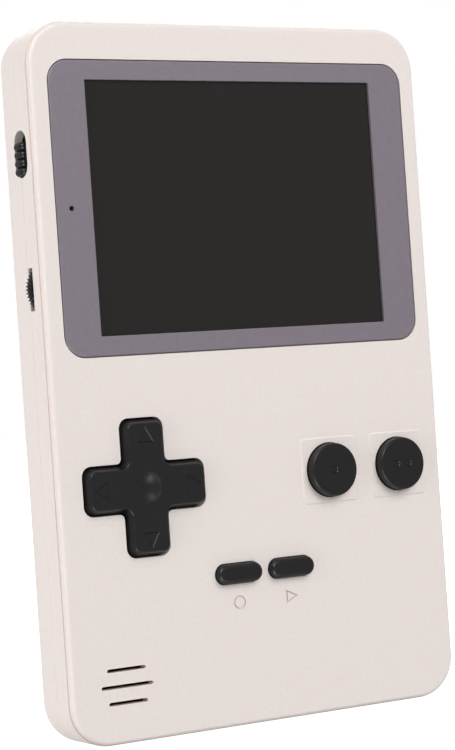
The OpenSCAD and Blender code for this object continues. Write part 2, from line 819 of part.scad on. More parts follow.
// Section of the rear shell's edge
module rear_edge() {
    flat = corner_r - rear_edge_r;
    inner = corner_r - wall;
    difference() {
        union() {
            polygon([
                [0, back_z], [flat, back_z], [flat, back_z + rear_edge_r], [corner_r, back_z + rear_edge_r],
                [corner_r, -parting - groove], [corner_r - groove, -parting], [0, -parting]
            ]);
            translate([flat, back_z + rear_edge_r]) rotate(-90) quarter(rear_edge_r);
        }
        translate([0, back_in]) square([inner - inner_r, body_t]);
        translate([0, back_in + inner_r]) square([inner, body_t]);
        translate([inner - inner_r, back_in + inner_r]) rotate(-90) quarter(inner_r);
    }
    translate([inner, -parting]) square([lip_t, lip_h - slip]);
}

module rear_shell() color("#e9e2de") stand() difference() {
    union() {
        at_body() edge_loop(body_w, body_h, corner_r) rear_edge();
        at_body() layer(back_z, back_in) body_middle();
        translate([-bay_out_w / 2, bay_bottom, back_in])
            cube([bay_out_w, bay_top - bay_bottom, bay_front - back_in]);
        at_spots(case_spots) layer(back_in, boss_meet) circle(rear_boss_r);
    }
    translate([-bay_in_w / 2, bay_in_bottom, back_z - eps])
        cube([bay_in_w, bay_in_h, bay_floor_z - back_z + eps]);
    translate([-open_w / 2, open_bottom, back_z - eps]) cube([open_w, open_top - open_bottom, door_t + eps]);
    for (s = [-1, 1]) {
        translate([s * open_w / 2, hinge_y, hinge_z]) rotate([0, 90, 0])
            cylinder(r = hinge_pin_r + hinge_slip, h = 2 * hinge_pin_l + 2 * slip, center = true);
        translate([s * (door_w / 2 + snap_out - snap_r), snap_y, hinge_z]) sphere(snap_r + slip);
        translate([s * terminal_pitch, bay_bottom - eps, pack_z - pack_t / 2]) rotate([-90, 0, 0])
            cylinder(r = lead_r + hinge_slip, h = bay_wall + 2 * eps);
    }
    translate([0, open_top, back_z - eps]) cylinder(r = notch_r, h = notch_h + eps);
    at_spots(case_spots) layer(back_z - eps, case_seat) circle(case_head_r + slip);
    at_spots(case_spots) layer(case_seat - eps, boss_meet + eps) circle(case_screw_r + slip);
    switch_slot();
    wheel_room();
}

module screen_bezel() color("#81787f") stand() {
    top = bezel_t - bezel_seat;
    at_screen() difference() {
        union() {
            edge_loop(bezel_w, bezel_h, bezel_r) polygon([
                [0, -bezel_seat], [bezel_r, -bezel_seat], [bezel_r, top - bezel_edge],
                [bezel_r - bezel_edge, top], [0, top]
            ]);
            layer(-bezel_seat, top) square([bezel_w - 2 * bezel_r, bezel_h - 2 * bezel_r], center = true);
        }
        layer(-bezel_seat - eps, top + eps) square([window_w, window_h], center = true);
        translate([lamp_x, 0, -bezel_seat - eps]) cylinder(d = lamp_hole_d, h = bezel_t + 2 * eps);
    }
}

// Window lens: a border bonded behind the bezel, and a step that stands up into the window
module screen_lens() color("#302d2c") stand() at_screen() {
    layer(-bezel_seat, -bezel_seat - lens_t) square([lens_w, lens_h], center = true);
    layer(-bezel_seat, -bezel_seat + lens_rise)
        square([window_w - 2 * slip, window_h - 2 * slip], center = true);
}

module lcd_gasket() color("#202020") stand() layer(-front_t, glass_z) difference() {
    translate([0, glass_y]) square([glass_w, glass_h], center = true);
    translate([0, screen_y]) square([lens_open_w + 2 * slip, lens_open_h + 2 * slip], center = true);
}

module lcd_glass() color("#1c1d1f") stand() {
    translate([0, glass_y, 0]) layer(glass_z, backlight_z) square([glass_w, glass_h], center = true);
}

module lcd_backlight() color("#dfe2e4") stand() {
    translate([0, glass_y, 0]) layer(backlight_z, display_back)
        square([glass_w - 2 * backlight_in, glass_h - 2 * backlight_in], center = true);
}

module lcd_foam() color("#3a3a3c") stand() {
    low = ribbon_seat_y + ribbon_lap + foam_in;
    high = bay_top - foam_in;
    translate([-bay_out_w / 2 + foam_in, low, 0]) layer(display_back, bay_front)
        square([bay_out_w - 2 * foam_in, high - low]);
}

// Ribbon: leaves the backlight's back, steps down over the board's edge and ends in its socket
module lcd_ribbon() color("#b5762a") stand() {
    low_z = board_z + socket_h / 2;
    step_y = socket_y + socket_l / 2;
    bend_y = step_y + ribbon_end;
    translate([-ribbon_w / 2, 0, 0]) rotate([90, 0, 90]) linear_extrude(ribbon_w) polygon([
        [ribbon_seat_y + ribbon_lap, display_back], [ribbon_seat_y - ribbon_t, display_back],
        [bend_y, low_z + ribbon_t / 2], [step_y, low_z + ribbon_t / 2],
        [step_y, low_z - ribbon_t / 2], [bend_y, low_z - ribbon_t / 2],
        [ribbon_seat_y - ribbon_t, display_back - ribbon_t],
        [ribbon_seat_y + ribbon_lap, display_back - ribbon_t]
    ]);
}

module ribbon_socket() color("#e8e4d6") stand() {
    translate([0, socket_y, board_z]) linear_extrude(socket_h)
        square([ribbon_w + 2 * socket_side, socket_l], center = true);
}

// Outline of the board: the field behind the keys and an arm up to the side controls
module board_outline() {
    clear_r = speaker_r + speaker_gap;
    board_r = corner_r - wall - board_gap;
    round_x = board_half - board_r;
    round_y = board_bottom + board_r;
    difference() {
        union() {
            translate([-board_half, round_y]) square([2 * board_half, board_top - round_y]);
            translate([-board_half, board_bottom]) square([board_half + round_x, board_r]);
            translate([round_x, round_y]) rotate(-90) quarter(board_r);
            translate([-board_half, board_top]) square([arm_right + board_half, arm_top - board_top]);
        }
        translate([speaker_x, speaker_y]) {
            circle(clear_r);
            translate([-body_w, -clear_r]) square([body_w, 2 * clear_r]);
            translate([-body_w, -body_h]) square([body_w + clear_r, body_h]);
        }
        for (p = case_spots) translate(p) circle(case_boss_r + boss_gap);
        for (p = board_spots) translate(p) circle(board_screw_r + slip);
    }
}

module main_board() color("#2f6b3a") stand() {
    layer(board_z, board_back) board_outline();
}

// Places of the rubber domes
module at_pad_domes() {
    at_pad() for (k = [0:3]) rotate(90 * k) translate([dome_place, 0, 0]) children();
}

module contact_pads() color("#c9a24b") stand() {
    at_pad_domes() translate([0, 0, board_z]) cylinder(r = pad_dome[1] - dome_wall, h = contact_t);
    at_buttons() translate([0, 0, board_z]) cylinder(r = button_dome[1] - dome_wall, h = contact_t);
    at_pills() translate([0, 0, board_z]) cylinder(r = pill_dome[1] - dome_wall, h = contact_t);
}

// A rubber dome, and the hollow under it
module dome(radii, top) {
    rotate_extrude() polygon([
        [0, board_z], [radii[0], board_z], [radii[0], mat_z], [radii[1], top], [0, top]
    ]);
}

module dome_hollow(radii, top) {
    low = radii[0] - dome_wall;
    high = radii[1] - dome_wall;
    roof = top - dome_top;
    rotate_extrude() polygon([
        [0, board_z - eps], [low, board_z - eps], [low, mat_z], [high, roof], [0, roof]
    ]);
}

module pad_mat() color("#8f8f92") stand() difference() {
    union() {
        at_pad() layer(board_z, mat_z) rounded(pad_mat_w, pad_mat_w, mat_r);
        at_pad_domes() dome(pad_dome, pad_bottom - rest_gap);
    }
    at_pad() layer(board_z - eps, mat_z + eps) circle(hub_r + hub_gap);
    at_pad_domes() dome_hollow(pad_dome, pad_bottom - rest_gap);
}

module button_mat() color("#8f8f92") stand() difference() {
    union() {
        translate([buttons_mid_x, button_y, 0]) layer(board_z, mat_z)
            rounded(button_mat_w, button_mat_h, mat_r);
        at_buttons() dome(button_dome, key_bottom - rest_gap);
    }
    at_buttons() dome_hollow(button_dome, key_bottom - rest_gap);
}

module pill_mat() color("#8f8f92") stand() difference() {
    union() {
        translate([pill_x, pill_y, 0]) layer(board_z, mat_z) rounded(pill_mat_w, pill_mat_h, mat_r);
        at_pills() dome(pill_dome, key_bottom - rest_gap);
    }
    at_pills() dome_hollow(pill_dome, key_bottom - rest_gap);
}

module chip_blob() color("#17181a") stand() {
    cap_r = (blob_r * blob_r + blob_h * blob_h) / (2 * blob_h);
    translate([buttons_mid_x, button_y, 0]) intersection() {
        translate([0, 0, board_back - blob_h + cap_r]) sphere(cap_r, $fn = 200);
        layer(board_back, board_back - blob_h - eps) circle(blob_r + eps);
    }
}

module crystal() color("#c4c6c8") stand() {
    translate([right_button_x - crystal_w, pill_y + crystal_w, 0]) layer(board_back, board_back - crystal_h)
        pill_outline(crystal_l, crystal_w);
}

module capacitors() color("#b9bcc0") stand() {
    for (i = [0:2]) translate([pad_x + i * cap_pitch, pad_y + 2 * cap_d, board_back - cap_h])
        cylinder(d = cap_d, h = cap_h);
}

module resistors() color("#26272a") stand() {
    for (i = [0:resistor_count - 1])
        translate([pill_x + (i - resistor_count / 2) * resistor_pitch, pill_y, board_back - resistor[2]])
            cube(resistor);
}

module regulator() color("#1d1e20") stand() {
    translate([pad_x, pad_y - 2 * regulator_size[1], board_back - regulator_size[2]]) cube(regulator_size);
}

// Lamp: a lens on the arm's front, under its hole in the bezel
module status_lamp() color("#d8e4dc") stand() {
    lamp_top = -front_t - lamp_gap;
    dome_z = lamp_top - lamp_d / 2;
    translate([lamp_x, screen_y, 0]) {
        layer(board_z, dome_z) circle(lamp_d / 2);
        translate([0, 0, dome_z]) rotate_extrude() quarter(lamp_d / 2);
    }
}

module pad_ball() color("#d6d6d2") stand() {
    at_pad() translate([0, 0, ball_z]) sphere(ball_r);
}

// Section of the pad's edge; x runs outward from the corners' centres, deep is how far it reaches back
module pad_edge(deep) {
    rim_w = 0.12;
    polygon([
        [-deep, pad_bottom], [pad_corner, pad_bottom], [pad_corner, 0],
        [pad_corner - pad_draft, pad_h - rim_w], [pad_corner - pad_draft - rim_w, pad_h], [-deep, pad_h]
    ]);
}

// The cross with drafted sides: edges, round corners and fillets round a plain core
module cross_body() {
    end = pad_l - pad_corner;
    side = pad_w - pad_corner;
    bend = pad_w + pad_fillet;
    reach = pad_fillet + pad_corner;
    layer(pad_bottom, pad_h) square([2 * end, 2 * side], center = true);
    layer(pad_bottom, pad_h) square([2 * side, 2 * end], center = true);
    for (k = [0:3]) rotate(90 * k) {
        translate([end, side, 0]) rotate([90, 0, 0]) linear_extrude(2 * side) pad_edge(0);
        translate([end, side, 0]) rotate_extrude(angle = 90) pad_edge(0);
        translate([end, -side, 0]) rotate(-90) rotate_extrude(angle = 90) pad_edge(0);
        translate([bend, side, 0]) rotate(90) rotate([90, 0, 0])
            linear_extrude(end - bend) pad_edge(0);
        translate([end, -side, 0]) rotate(-90) rotate([90, 0, 0])
            linear_extrude(end - bend) pad_edge(0);
        translate([bend, bend, 0]) rotate(180) rotate_extrude(angle = 90)
            translate([reach, 0]) mirror([1, 0]) pad_edge(reach / 2);
    }
}

// Arrows pressed into the arms
module pad_arrows() {
    at_pad() for (k = [0:3]) rotate(90 * k) translate([0, pad_l - arrow_in, 0])
        layer(pad_h - mark_depth, pad_h + eps) triangle(arrow_w, arrow_h);
}

module cross_pad() color("#2a2a2b") stand() difference() {
    dish_r = (dimple_d * dimple_d / 4 + dimple_h * dimple_h) / (2 * dimple_h);
    union() {
        at_pad() cross_body();
        at_pad() layer(pad_flange_z, pad_bottom) circle(pad_flange_r);
        at_pad() layer(pad_bottom, ball_z + slip) circle(hub_r);
    }
    at_pad() translate([0, 0, ball_z]) sphere(ball_r + ball_slip);
    at_pad() translate([0, 0, pad_h - dimple_h + dish_r]) sphere(dish_r);
    pad_arrows();
}

// Section of a key with a rounded top edge, from the flange's foot up; r is its radius
module key_section(r, h, edge) {
    translate([0, key_flange_z]) square([r, h - edge - key_flange_z]);
    translate([0, h - edge]) square([r - edge, edge]);
    translate([r - edge, h - edge]) quarter(edge);
}

module round_button(dots) {
    r = button_d / 2;
    difference() {
        union() {
            rotate_extrude() key_section(r, button_h, button_edge);
            layer(key_flange_z, key_flange_z - key_flange_t) circle(r + key_rim);
            layer(key_flange_z - key_flange_t, key_bottom) circle(button_dome[1]);
        }
        for (x = dots) translate([x, 0, button_h - mark_depth]) cylinder(r = dot_r, h = mark_depth + eps);
    }
}

module button_left() color("#2a2a2b") stand() {
    translate([left_button_x, button_y, 0]) round_button([0]);
}

module button_right() color("#2a2a2b") stand() {
    translate([right_button_x, button_y, 0]) round_button([-dot_pitch / 2, dot_pitch / 2]);
}

module pill_button() {
    r = pill_w / 2;
    run = pill_l - pill_w;
    for (s = [-1, 1]) translate([s * run / 2, 0, 0]) rotate(s * 90 - 180)
        rotate_extrude(angle = 180) key_section(r, pill_h, pill_edge);
    translate([run / 2, 0, 0]) rotate([90, 0, -90]) linear_extrude(run) {
        key_section(r, pill_h, pill_edge);
        mirror([1, 0]) key_section(r, pill_h, pill_edge);
    }
    layer(key_flange_z, key_flange_z - key_flange_t) pill_outline(pill_l + 2 * key_rim, pill_w + 2 * key_rim);
    layer(key_flange_z - key_flange_t, key_bottom) circle(pill_dome[1]);
}

module pill_left() color("#2a2a2b") stand() {
    translate([pill_x - pill_pitch / 2, pill_y, 0]) pill_button();
}

module pill_right() color("#2a2a2b") stand() {
    translate([pill_x + pill_pitch / 2, pill_y, 0]) pill_button();
}

// Slide switch on the board's arm, open towards the cap's lever
module switch_body() color("#b4b7ba") stand() difference() {
    lever_room = switch_lever[1] + switch_travel + 2 * lever_gap;
    top = switch_z + switch_body_front;
    translate([switch_body_x, switch_y - switch_body_l / 2, board_z])
        cube([switch_body_w, switch_body_l, top - board_z]);
    translate([switch_body_x - eps, switch_y - lever_room / 2, switch_z - switch_lever[2] / 2 - lever_gap])
        cube([switch_lever[0] + eps, lever_room, switch_lever[2] + 2 * lever_gap]);
}

// Switch cap: a ribbed grip in the slot, a flange behind the wall and a lever into the switch
module power_switch() color("#2b2b2c") stand() translate([0, switch_rest_y, switch_z]) {
    grip_x = -half_w - switch_out;
    rib_pitch = (switch_cap_l - 2 * rib_r) / (rib_count - 1);
    root_x = switch_flange_x + switch_flange_t;
    intersection() {
        translate([0, 0, -switch_cap_w / 2]) linear_extrude(switch_cap_w) {
            translate([grip_x + rib_r, -switch_cap_l / 2]) square([root_x - grip_x - rib_r, switch_cap_l]);
            for (i = [0:rib_count - 1])
                translate([grip_x + rib_r, -switch_cap_l / 2 + rib_r + i * rib_pitch]) circle(rib_r);
        }
        translate([grip_x - eps, 0, 0]) rotate([90, 0, 90])
            linear_extrude(root_x - grip_x + eps) pill_outline(switch_cap_l, switch_cap_w);
    }
    translate([switch_flange_x, -switch_flange_l / 2, -switch_flange_w / 2])
        cube([switch_flange_t, switch_flange_l, switch_flange_w]);
    translate([root_x, -switch_lever[1] / 2, -switch_lever[2] / 2]) cube(switch_lever);
}

module volume_body() color("#3c3d40") stand() translate([wheel_x, wheel_y, board_z]) difference() {
    translate([-volume_shaft_in, -volume_body_l / 2, 0]) cube([volume_body_w, volume_body_l, volume_body_h]);
    translate([0, 0, -eps]) cylinder(r = wheel_shaft_r + hinge_slip, h = volume_body_h + 2 * eps);
}

// Volume wheel: a toothed rim and the shaft in its control
module volume_wheel() color("#29292a") stand() translate([wheel_x, wheel_y, wheel_z]) {
    linear_extrude(wheel_t) polygon([
        for (i = [0:2 * wheel_teeth - 1])
            let (a = 180 * i / wheel_teeth, r = i % 2 == 0 ? wheel_r : wheel_r - tooth_h)
                [r * cos(a), r * sin(a)]
    ]);
    translate([0, 0, board_z + shaft_end_gap - wheel_z])
        cylinder(r = wheel_shaft_r, h = wheel_z - board_z - shaft_end_gap);
}

module speaker_gasket() color("#1f1f20") stand() at_speaker() layer(-front_t, basket_z) difference() {
    circle(speaker_r);
    circle(speaker_r - speaker_gasket_w);
}

module speaker_basket() color("#8c8f93") stand() at_speaker() rotate_extrude() polygon([
    [speaker_r - basket_wall, basket_z], [speaker_r, basket_z], [speaker_r, basket_back], [0, basket_back],
    [0, basket_back + basket_wall], [speaker_r - 2 * basket_wall, basket_back + basket_wall],
    [speaker_r - 2 * basket_wall, basket_z - cone_seat], [speaker_r - basket_wall, basket_z - cone_seat]
]);

// Cone with its surround and dust cap, on the basket's step
module speaker_cone() color("#2e2c2a") stand() at_speaker() translate([0, 0, basket_z - cone_seat]) {
    edge = speaker_r - basket_wall;
    flare = speaker_r - 3 * basket_wall;
    rotate_extrude() polygon([
        [edge, cone_t], [edge, 0], [flare, 0], [cone_mid_r, -cone_h], [0, cone_t - cone_h],
        [0, 2 * cone_t - cone_h], [cone_mid_r, cone_t - cone_h], [flare, cone_t]
    ]);
}

module speaker_magnet() color("#55585c") stand() at_speaker()
    layer(basket_back, basket_back - magnet_h) circle(magnet_d / 2);

// Leads: out of the basket's back, along behind the board and onto its rear face
module speaker_leads() color("#a33a32") stand() {
    low = board_back - lead_bend;
    from_x = speaker_x + magnet_d / 2 + lead_magnet_gap;
    to_x = speaker_x + speaker_r + lead_run;
    for (s = [-1, 1]) translate([0, speaker_y + s * lead_pitch / 2, 0]) {
        translate([from_x, 0, low]) cylinder(r = lead_r, h = basket_back - low);
        translate([from_x + lead_bend, 0, low]) rotate([-90, 0, 0]) rotate(90)
            rotate_extrude(angle = 90) translate([lead_bend, 0]) circle(lead_r);
        translate([from_x + lead_bend, 0, low - lead_bend]) rotate([0, 90, 0])
            cylinder(r = lead_r, h = to_x - from_x - 2 * lead_bend);
        translate([to_x - lead_bend, 0, low]) rotate([-90, 0, 0])
            rotate_extrude(angle = 90) translate([lead_bend, 0]) circle(lead_r);
    }
}

module battery_pack() color("#3d4a57") stand() difference() {
    translate([0, pack_y, 0]) layer(pack_back, pack_z) rounded(pack_w, pack_h, pack_r);
    for (x = terminal_x) translate([x - terminal[0] / 2, pack_end - eps, terminal_z])
        cube([terminal[0], terminal[1] + eps, terminal[2]]);
}

module pack_terminals() color("#c9a24b") stand() {
    for (x = terminal_x) translate([x - terminal[0] / 2, pack_end, terminal_z]) cube(terminal);
}

module contact_block() color("#1f2022") stand() {
    translate([-block_w / 2, bay_in_bottom, pack_z - block_t])
        cube([block_w, block_top - bay_in_bottom, block_t]);
}

// Leaves that press on the pack's terminals
module contact_leaves() color("#d2b062") stand() {
    leaf_top = terminal[2] - leaf_t;
    knee = terminal[2] / 2 + leaf_t;
    for (x = terminal_x) translate([x - leaf_w / 2, 0, terminal_z]) rotate([90, 0, 90])
        linear_extrude(leaf_w) polygon([
            [block_top, 0], [block_top, leaf_t], [pack_end - leaf_t, knee], [pack_end - leaf_t, leaf_top],
            [pack_end, leaf_top], [pack_end, knee], [block_top + leaf_t, 0]
        ]);
}

// Leads: out of the block through the bay's wall, then forward onto the board's rear face
module battery_leads() color("#a33a32") stand() {
    lead_z = pack_z - pack_t / 2;
    for (s = [-1, 1]) translate([s * terminal_pitch, 0, 0]) {
        translate([0, lead_end_y + lead_bend, lead_z]) rotate([-90, 0, 0])
            cylinder(r = lead_r, h = bay_in_bottom - lead_end_y - lead_bend);
        translate([0, lead_end_y + lead_bend, lead_z + lead_bend]) rotate([0, 90, 0]) rotate(-90)
            rotate_extrude(angle = 90) translate([lead_bend, 0]) circle(lead_r);
        translate([0, lead_end_y, lead_z + lead_bend])
            cylinder(r = lead_r, h = board_back - lead_z - lead_bend);
    }
}

// Door on the back: a plate with a round hinge edge, two pins and two snap bumps
module battery_door() color("#e9e2de") stand() {
    translate([-door_w / 2, hinge_y, back_z]) cube([door_w, door_top - hinge_y, door_t]);
    translate([-door_w / 2, hinge_y, hinge_z]) rotate([0, 90, 0]) rotate(180)
        linear_extrude(door_w) {
            rotate(-90) quarter(door_t / 2);
            rotate(180) quarter(door_t / 2);
        }
    for (s = [-1, 1]) {
        translate([s * door_w / 2, hinge_y, hinge_z]) rotate([0, s * 90, 0])
            cylinder(r = hinge_pin_r, h = hinge_pin_l);
        translate([s * (door_w / 2 + snap_out - snap_r), snap_y, hinge_z]) sphere(snap_r);
    }
}

// A screw's head with a crossed recess, on a seat at depth z
module screw_head(z, r, h) {
    difference() {
        layer(z, z - h) circle(r);
        layer(z - h - eps, z - h + recess_h) {
            square([recess_l, recess_w], center = true);
            square([recess_w, recess_l], center = true);
        }
    }
}

module case_screws() color("#9a9da1") stand() at_spots(case_spots) {
    screw_head(case_seat, case_head_r, case_head_h);
    layer(case_seat, case_tip) circle(case_screw_r);
}

module board_screws() color("#9a9da1") stand() at_spots(board_spots) {
    screw_head(board_back, board_head_r, board_head_h);
    layer(board_back, board_tip) circle(board_screw_r);
}

front_shell();
rear_shell();
screen_bezel();
screen_lens();
lcd_gasket();
lcd_glass();
lcd_backlight();
lcd_foam();
lcd_ribbon();
ribbon_socket();
main_board();
contact_pads();
chip_blob();
crystal();
capacitors();
resistors();
regulator();
status_lamp();
pad_ball();
cross_pad();
pad_mat();
button_left();
button_right();
button_mat();
pill_left();
pill_right();
pill_mat();
switch_body();
power_switch();
volume_body();
volume_wheel();
speaker_gasket();
speaker_basket();
speaker_cone();
speaker_magnet();
speaker_leads();
battery_pack();
pack_terminals();
contact_block();
contact_leaves();
battery_leads();
battery_door();
case_screws();
board_screws();
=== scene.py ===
# Looks of a handheld game console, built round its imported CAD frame.
# Metres, in the frame of the CAD: the face looks along -Y, the height runs along +Z.
# Pieces on the face are modelled flat in millimetres, x to the right, y up and z out of the face,
# and then stood up.
import math

import bmesh
import bpy
from mathutils import Matrix, Vector


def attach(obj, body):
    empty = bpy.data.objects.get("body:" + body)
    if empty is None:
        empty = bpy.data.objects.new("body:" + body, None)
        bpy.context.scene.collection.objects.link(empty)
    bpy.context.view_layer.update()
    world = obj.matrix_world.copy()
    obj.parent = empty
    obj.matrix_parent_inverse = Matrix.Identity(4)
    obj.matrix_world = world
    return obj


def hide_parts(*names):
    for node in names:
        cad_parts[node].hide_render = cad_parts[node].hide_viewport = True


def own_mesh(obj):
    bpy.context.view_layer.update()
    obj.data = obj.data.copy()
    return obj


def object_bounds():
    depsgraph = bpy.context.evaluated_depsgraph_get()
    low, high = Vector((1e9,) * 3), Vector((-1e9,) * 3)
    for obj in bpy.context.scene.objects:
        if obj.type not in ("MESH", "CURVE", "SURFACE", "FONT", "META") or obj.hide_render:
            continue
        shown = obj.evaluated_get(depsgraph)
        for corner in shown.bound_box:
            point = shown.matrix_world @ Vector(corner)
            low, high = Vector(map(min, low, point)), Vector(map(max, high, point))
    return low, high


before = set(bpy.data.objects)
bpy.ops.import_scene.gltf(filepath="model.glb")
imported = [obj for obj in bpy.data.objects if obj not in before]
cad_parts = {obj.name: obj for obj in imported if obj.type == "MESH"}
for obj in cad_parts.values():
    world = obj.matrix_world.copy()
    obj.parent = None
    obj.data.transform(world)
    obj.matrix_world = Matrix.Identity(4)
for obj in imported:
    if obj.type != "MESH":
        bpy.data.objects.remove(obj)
cad_low, cad_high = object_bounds()
bpy.ops.object.select_all(action="DESELECT")

MM = 0.001
# The face plate lies 7 mm in front of the middle of the body
FACE_UP = Matrix.Translation((0, -7 * MM, 0)) @ Matrix.Rotation(math.radians(90), 4, "X")


# Materials


def linear(hex_colour):
    """An sRGB hex colour as linear red, green, blue and alpha."""
    parts = [int(hex_colour[i : i + 2], 16) / 255 for i in (0, 2, 4)]
    return [c / 12.92 if c <= 0.04045 else ((c + 0.055) / 1.055) ** 2.4 for c in parts] + [1]


def add(tree, kind, settings, links=None):
    """Adds a shader node with its settings, and links its inputs to other nodes' outputs."""
    made = tree.nodes.new("ShaderNode" + kind)
    for name, value in settings.items():
        if isinstance(name, str) and hasattr(made, name):
            setattr(made, name, value)
        else:
            made.inputs[name].default_value = value
    for name, (source, output) in (links or {}).items():
        tree.links.new(source.outputs[output], made.inputs[name])
    return made


def per(size_mm):
    """The scale of a pattern on Object coordinates whose features are that many millimetres apart."""
    return 1 / (size_mm * MM)


def surface(name, **sockets):
    """A new material: its node tree, its coordinates and its shader, with these values on the shader."""
    material = bpy.data.materials.new(name)
    material.use_nodes = True
    tree = material.node_tree
    tree.nodes.clear()
    place = add(tree, "TexCoord", {})
    shader = add(tree, "BsdfPrincipled", {k.replace("_", " "): v for k, v in sockets.items()})
    add(tree, "OutputMaterial", {}, {"Surface": (shader, "BSDF")})
    return material, tree, place, shader


def finish(tree, shader, colour, roughness, normal):
    """Links a pattern's colour, roughness and normal outputs to the shader."""
    for socket, (source, output) in (("Base Color", colour), ("Roughness", roughness), ("Normal", normal)):
        tree.links.new(source.outputs[output], shader.inputs[socket])


def moulded(name, dark, light, rough, cloud_mm, grain_mm, grain_depth_mm, **sockets):
    """A moulded, plated or cast piece: faint clouds in its colour, and a fine grain."""
    material, tree, place, shader = surface(name, **sockets)
    clouds = add(
        tree,
        "TexNoise",
        {"Scale": per(cloud_mm), "Detail": 4, "Roughness": 0.6},
        {"Vector": (place, "Object")},
    )
    grain = add(tree, "TexNoise", {"Scale": per(grain_mm), "Detail": 2}, {"Vector": (place, "Object")})
    spread = add(tree, "MapRange", {"From Min": 0.35, "From Max": 0.65}, {"Value": (clouds, "Fac")})
    tint = add(
        tree, "Mix", {"data_type": "RGBA", 6: linear(dark), 7: linear(light)}, {0: (spread, "Result")}
    )
    polish = add(tree, "MapRange", {"To Min": rough[0], "To Max": rough[1]}, {"Value": (grain, "Fac")})
    bump = add(tree, "Bump", {"Distance": grain_depth_mm * MM}, {"Height": (grain, "Fac")})
    finish(tree, shader, (tint, 2), (polish, "Result"), (bump, "Normal"))
    return material


# ABS with a spark-eroded matt skin: warm white, soft light, faint clouds, and brown shade painted in its
# corners and creases.
# The real grain is about 0.05 mm, too fine to show, so it is drawn at 0.3 mm.
shell_abs, tree, place, shader = surface("abs_warm_white", Specular_IOR_Level=0.35)
clouds = add(
    tree, "TexNoise", {"Scale": per(0.7), "Detail": 4, "Roughness": 0.6}, {"Vector": (place, "Object")}
)
grain = add(tree, "TexNoise", {"Scale": per(0.3), "Detail": 2}, {"Vector": (place, "Object")})
spread = add(tree, "MapRange", {"From Min": 0.35, "From Max": 0.65}, {"Value": (clouds, "Fac")})
clean = add(
    tree, "Mix", {"data_type": "RGBA", 6: linear("e6dcd7"), 7: linear("e9e0dc")}, {0: (spread, "Result")}
)
# Painted shade: an occlusion mask mixes the white towards brown within 1.2 mm of nearby surfaces, in corners,
# creases and slots
corners = add(tree, "AmbientOcclusion", {"samples": 12, "only_local": True, "Distance": 1.2 * MM})
painted_crease_shade = add(tree, "MapRange", {"From Min": 0.05, "From Max": 0.95}, {"Value": (corners, "AO")})
tint = add(tree, "Mix", {"data_type": "RGBA", 6: linear("d8bca9")}, {0: (painted_crease_shade, "Result"), 7: (clean, 2)})
polish = add(tree, "MapRange", {"To Min": 0.5, "To Max": 0.6}, {"Value": (grain, "Fac")})
eroded = add(tree, "Bump", {"Distance": 0.003 * MM}, {"Height": (grain, "Fac")})
finish(tree, shader, (tint, 2), (polish, "Result"), (eroded, "Normal"))
# ABS painted with a satin lacquer: purple-grey, fine flakes.
bezel_lacquer = moulded("lacquered_abs_purple_grey", "776e77", "7b727b", (0.38, 0.46), 1.2, 0.25, 0.002)
# Black ABS with a matt skin, as on keys: charcoal, with a dull edge light.
key_abs = moulded(
    "abs_charcoal", "121213", "151516", (0.32, 0.40), 1.6, 0.25, 0.002, Specular_IOR_Level=0.25
)
# Nylon, plain and a little waxy.
white_nylon = moulded("nylon_natural", "d9d8d0", "e6e4dc", (0.4, 0.5), 3, 0.4, 0.004)
# Phenolic and epoxy mouldings of small parts: black with a faint grain.
black_epoxy = moulded("epoxy_black", "121314", "1d1e20", (0.5, 0.65), 0.8, 0.2, 0.006)
# Silicone rubber of the key mats: mid grey, dull.
grey_silicone = moulded("silicone_grey", "7d7d80", "939396", (0.62, 0.74), 2, 0.35, 0.006)
# Foam rubber gaskets: black, dull.
black_foam_rubber = moulded("foam_rubber_black", "161617", "232324", (0.8, 0.92), 0.7, 0.35, 0.03)
# Open-cell polyurethane foam: dark grey cells about 0.5 mm wide, with darker pores.
cell_foam, tree, place, shader = surface("polyurethane_foam", Specular_IOR_Level=0.15)
cells = add(tree, "TexVoronoi", {"Scale": per(0.5), "Randomness": 0.9}, {"Vector": (place, "Object")})
tint = add(
    tree, "Mix", {"data_type": "RGBA", 6: linear("1c1c1e"), 7: linear("4a4a4d")}, {0: (cells, "Distance")}
)
polish = add(tree, "MapRange", {"To Min": 0.96, "To Max": 0.84}, {"Value": (cells, "Distance")})
pores = add(tree, "Bump", {"Distance": 0.15 * MM}, {"Height": (cells, "Distance")})
finish(tree, shader, (tint, 2), (polish, "Result"), (pores, "Normal"))
# Tinned steel and nickel-plated cans: dull silver.
tinned_steel = moulded("tinned_steel", "a9acb0", "c3c6c9", (0.28, 0.42), 1.2, 0.3, 0.003, Metallic=1.0)
# Gold flash on phosphor bronze contacts.
gold_flash = moulded("gold_flashed_bronze", "bd933c", "d6b25e", (0.24, 0.36), 1, 0.3, 0.003, Metallic=1.0)
# Zinc-plated steel of the screws: grey, a little bright.
zinc_steel = moulded("zinc_plated_steel", "85898e", "a4a8ac", (0.3, 0.45), 0.6, 0.2, 0.004, Metallic=1.0)
# Sintered ferrite and its plated yoke.
ferrite = moulded("plated_ferrite", "3e4145", "5b5f64", (0.4, 0.55), 0.9, 0.25, 0.008, Metallic=0.6)
# Pressed paper cone: black, with fibres about 0.15 mm thick matted in its skin.
cone_paper, tree, place, shader = surface("pressed_paper_black", Specular_IOR_Level=0.2)
fibres = add(
    tree,
    "TexNoise",
    {"Scale": per(0.8), "Detail": 6, "Roughness": 0.7, "Distortion": 2.5},
    {"Vector": (place, "Object")},
)
tint = add(
    tree, "Mix", {"data_type": "RGBA", 6: linear("141312"), 7: linear("3c3935")}, {0: (fibres, "Fac")}
)
polish = add(tree, "MapRange", {"To Min": 0.78, "To Max": 0.94}, {"Value": (fibres, "Fac")})
matted = add(tree, "Bump", {"Distance": 0.06 * MM}, {"Height": (fibres, "Fac")})
finish(tree, shader, (tint, 2), (polish, "Result"), (matted, "Normal"))
# PVC insulation of thin leads.
lead_pvc = moulded("pvc_red", "8c2a24", "a83a32", (0.35, 0.48), 2, 0.4, 0.003)
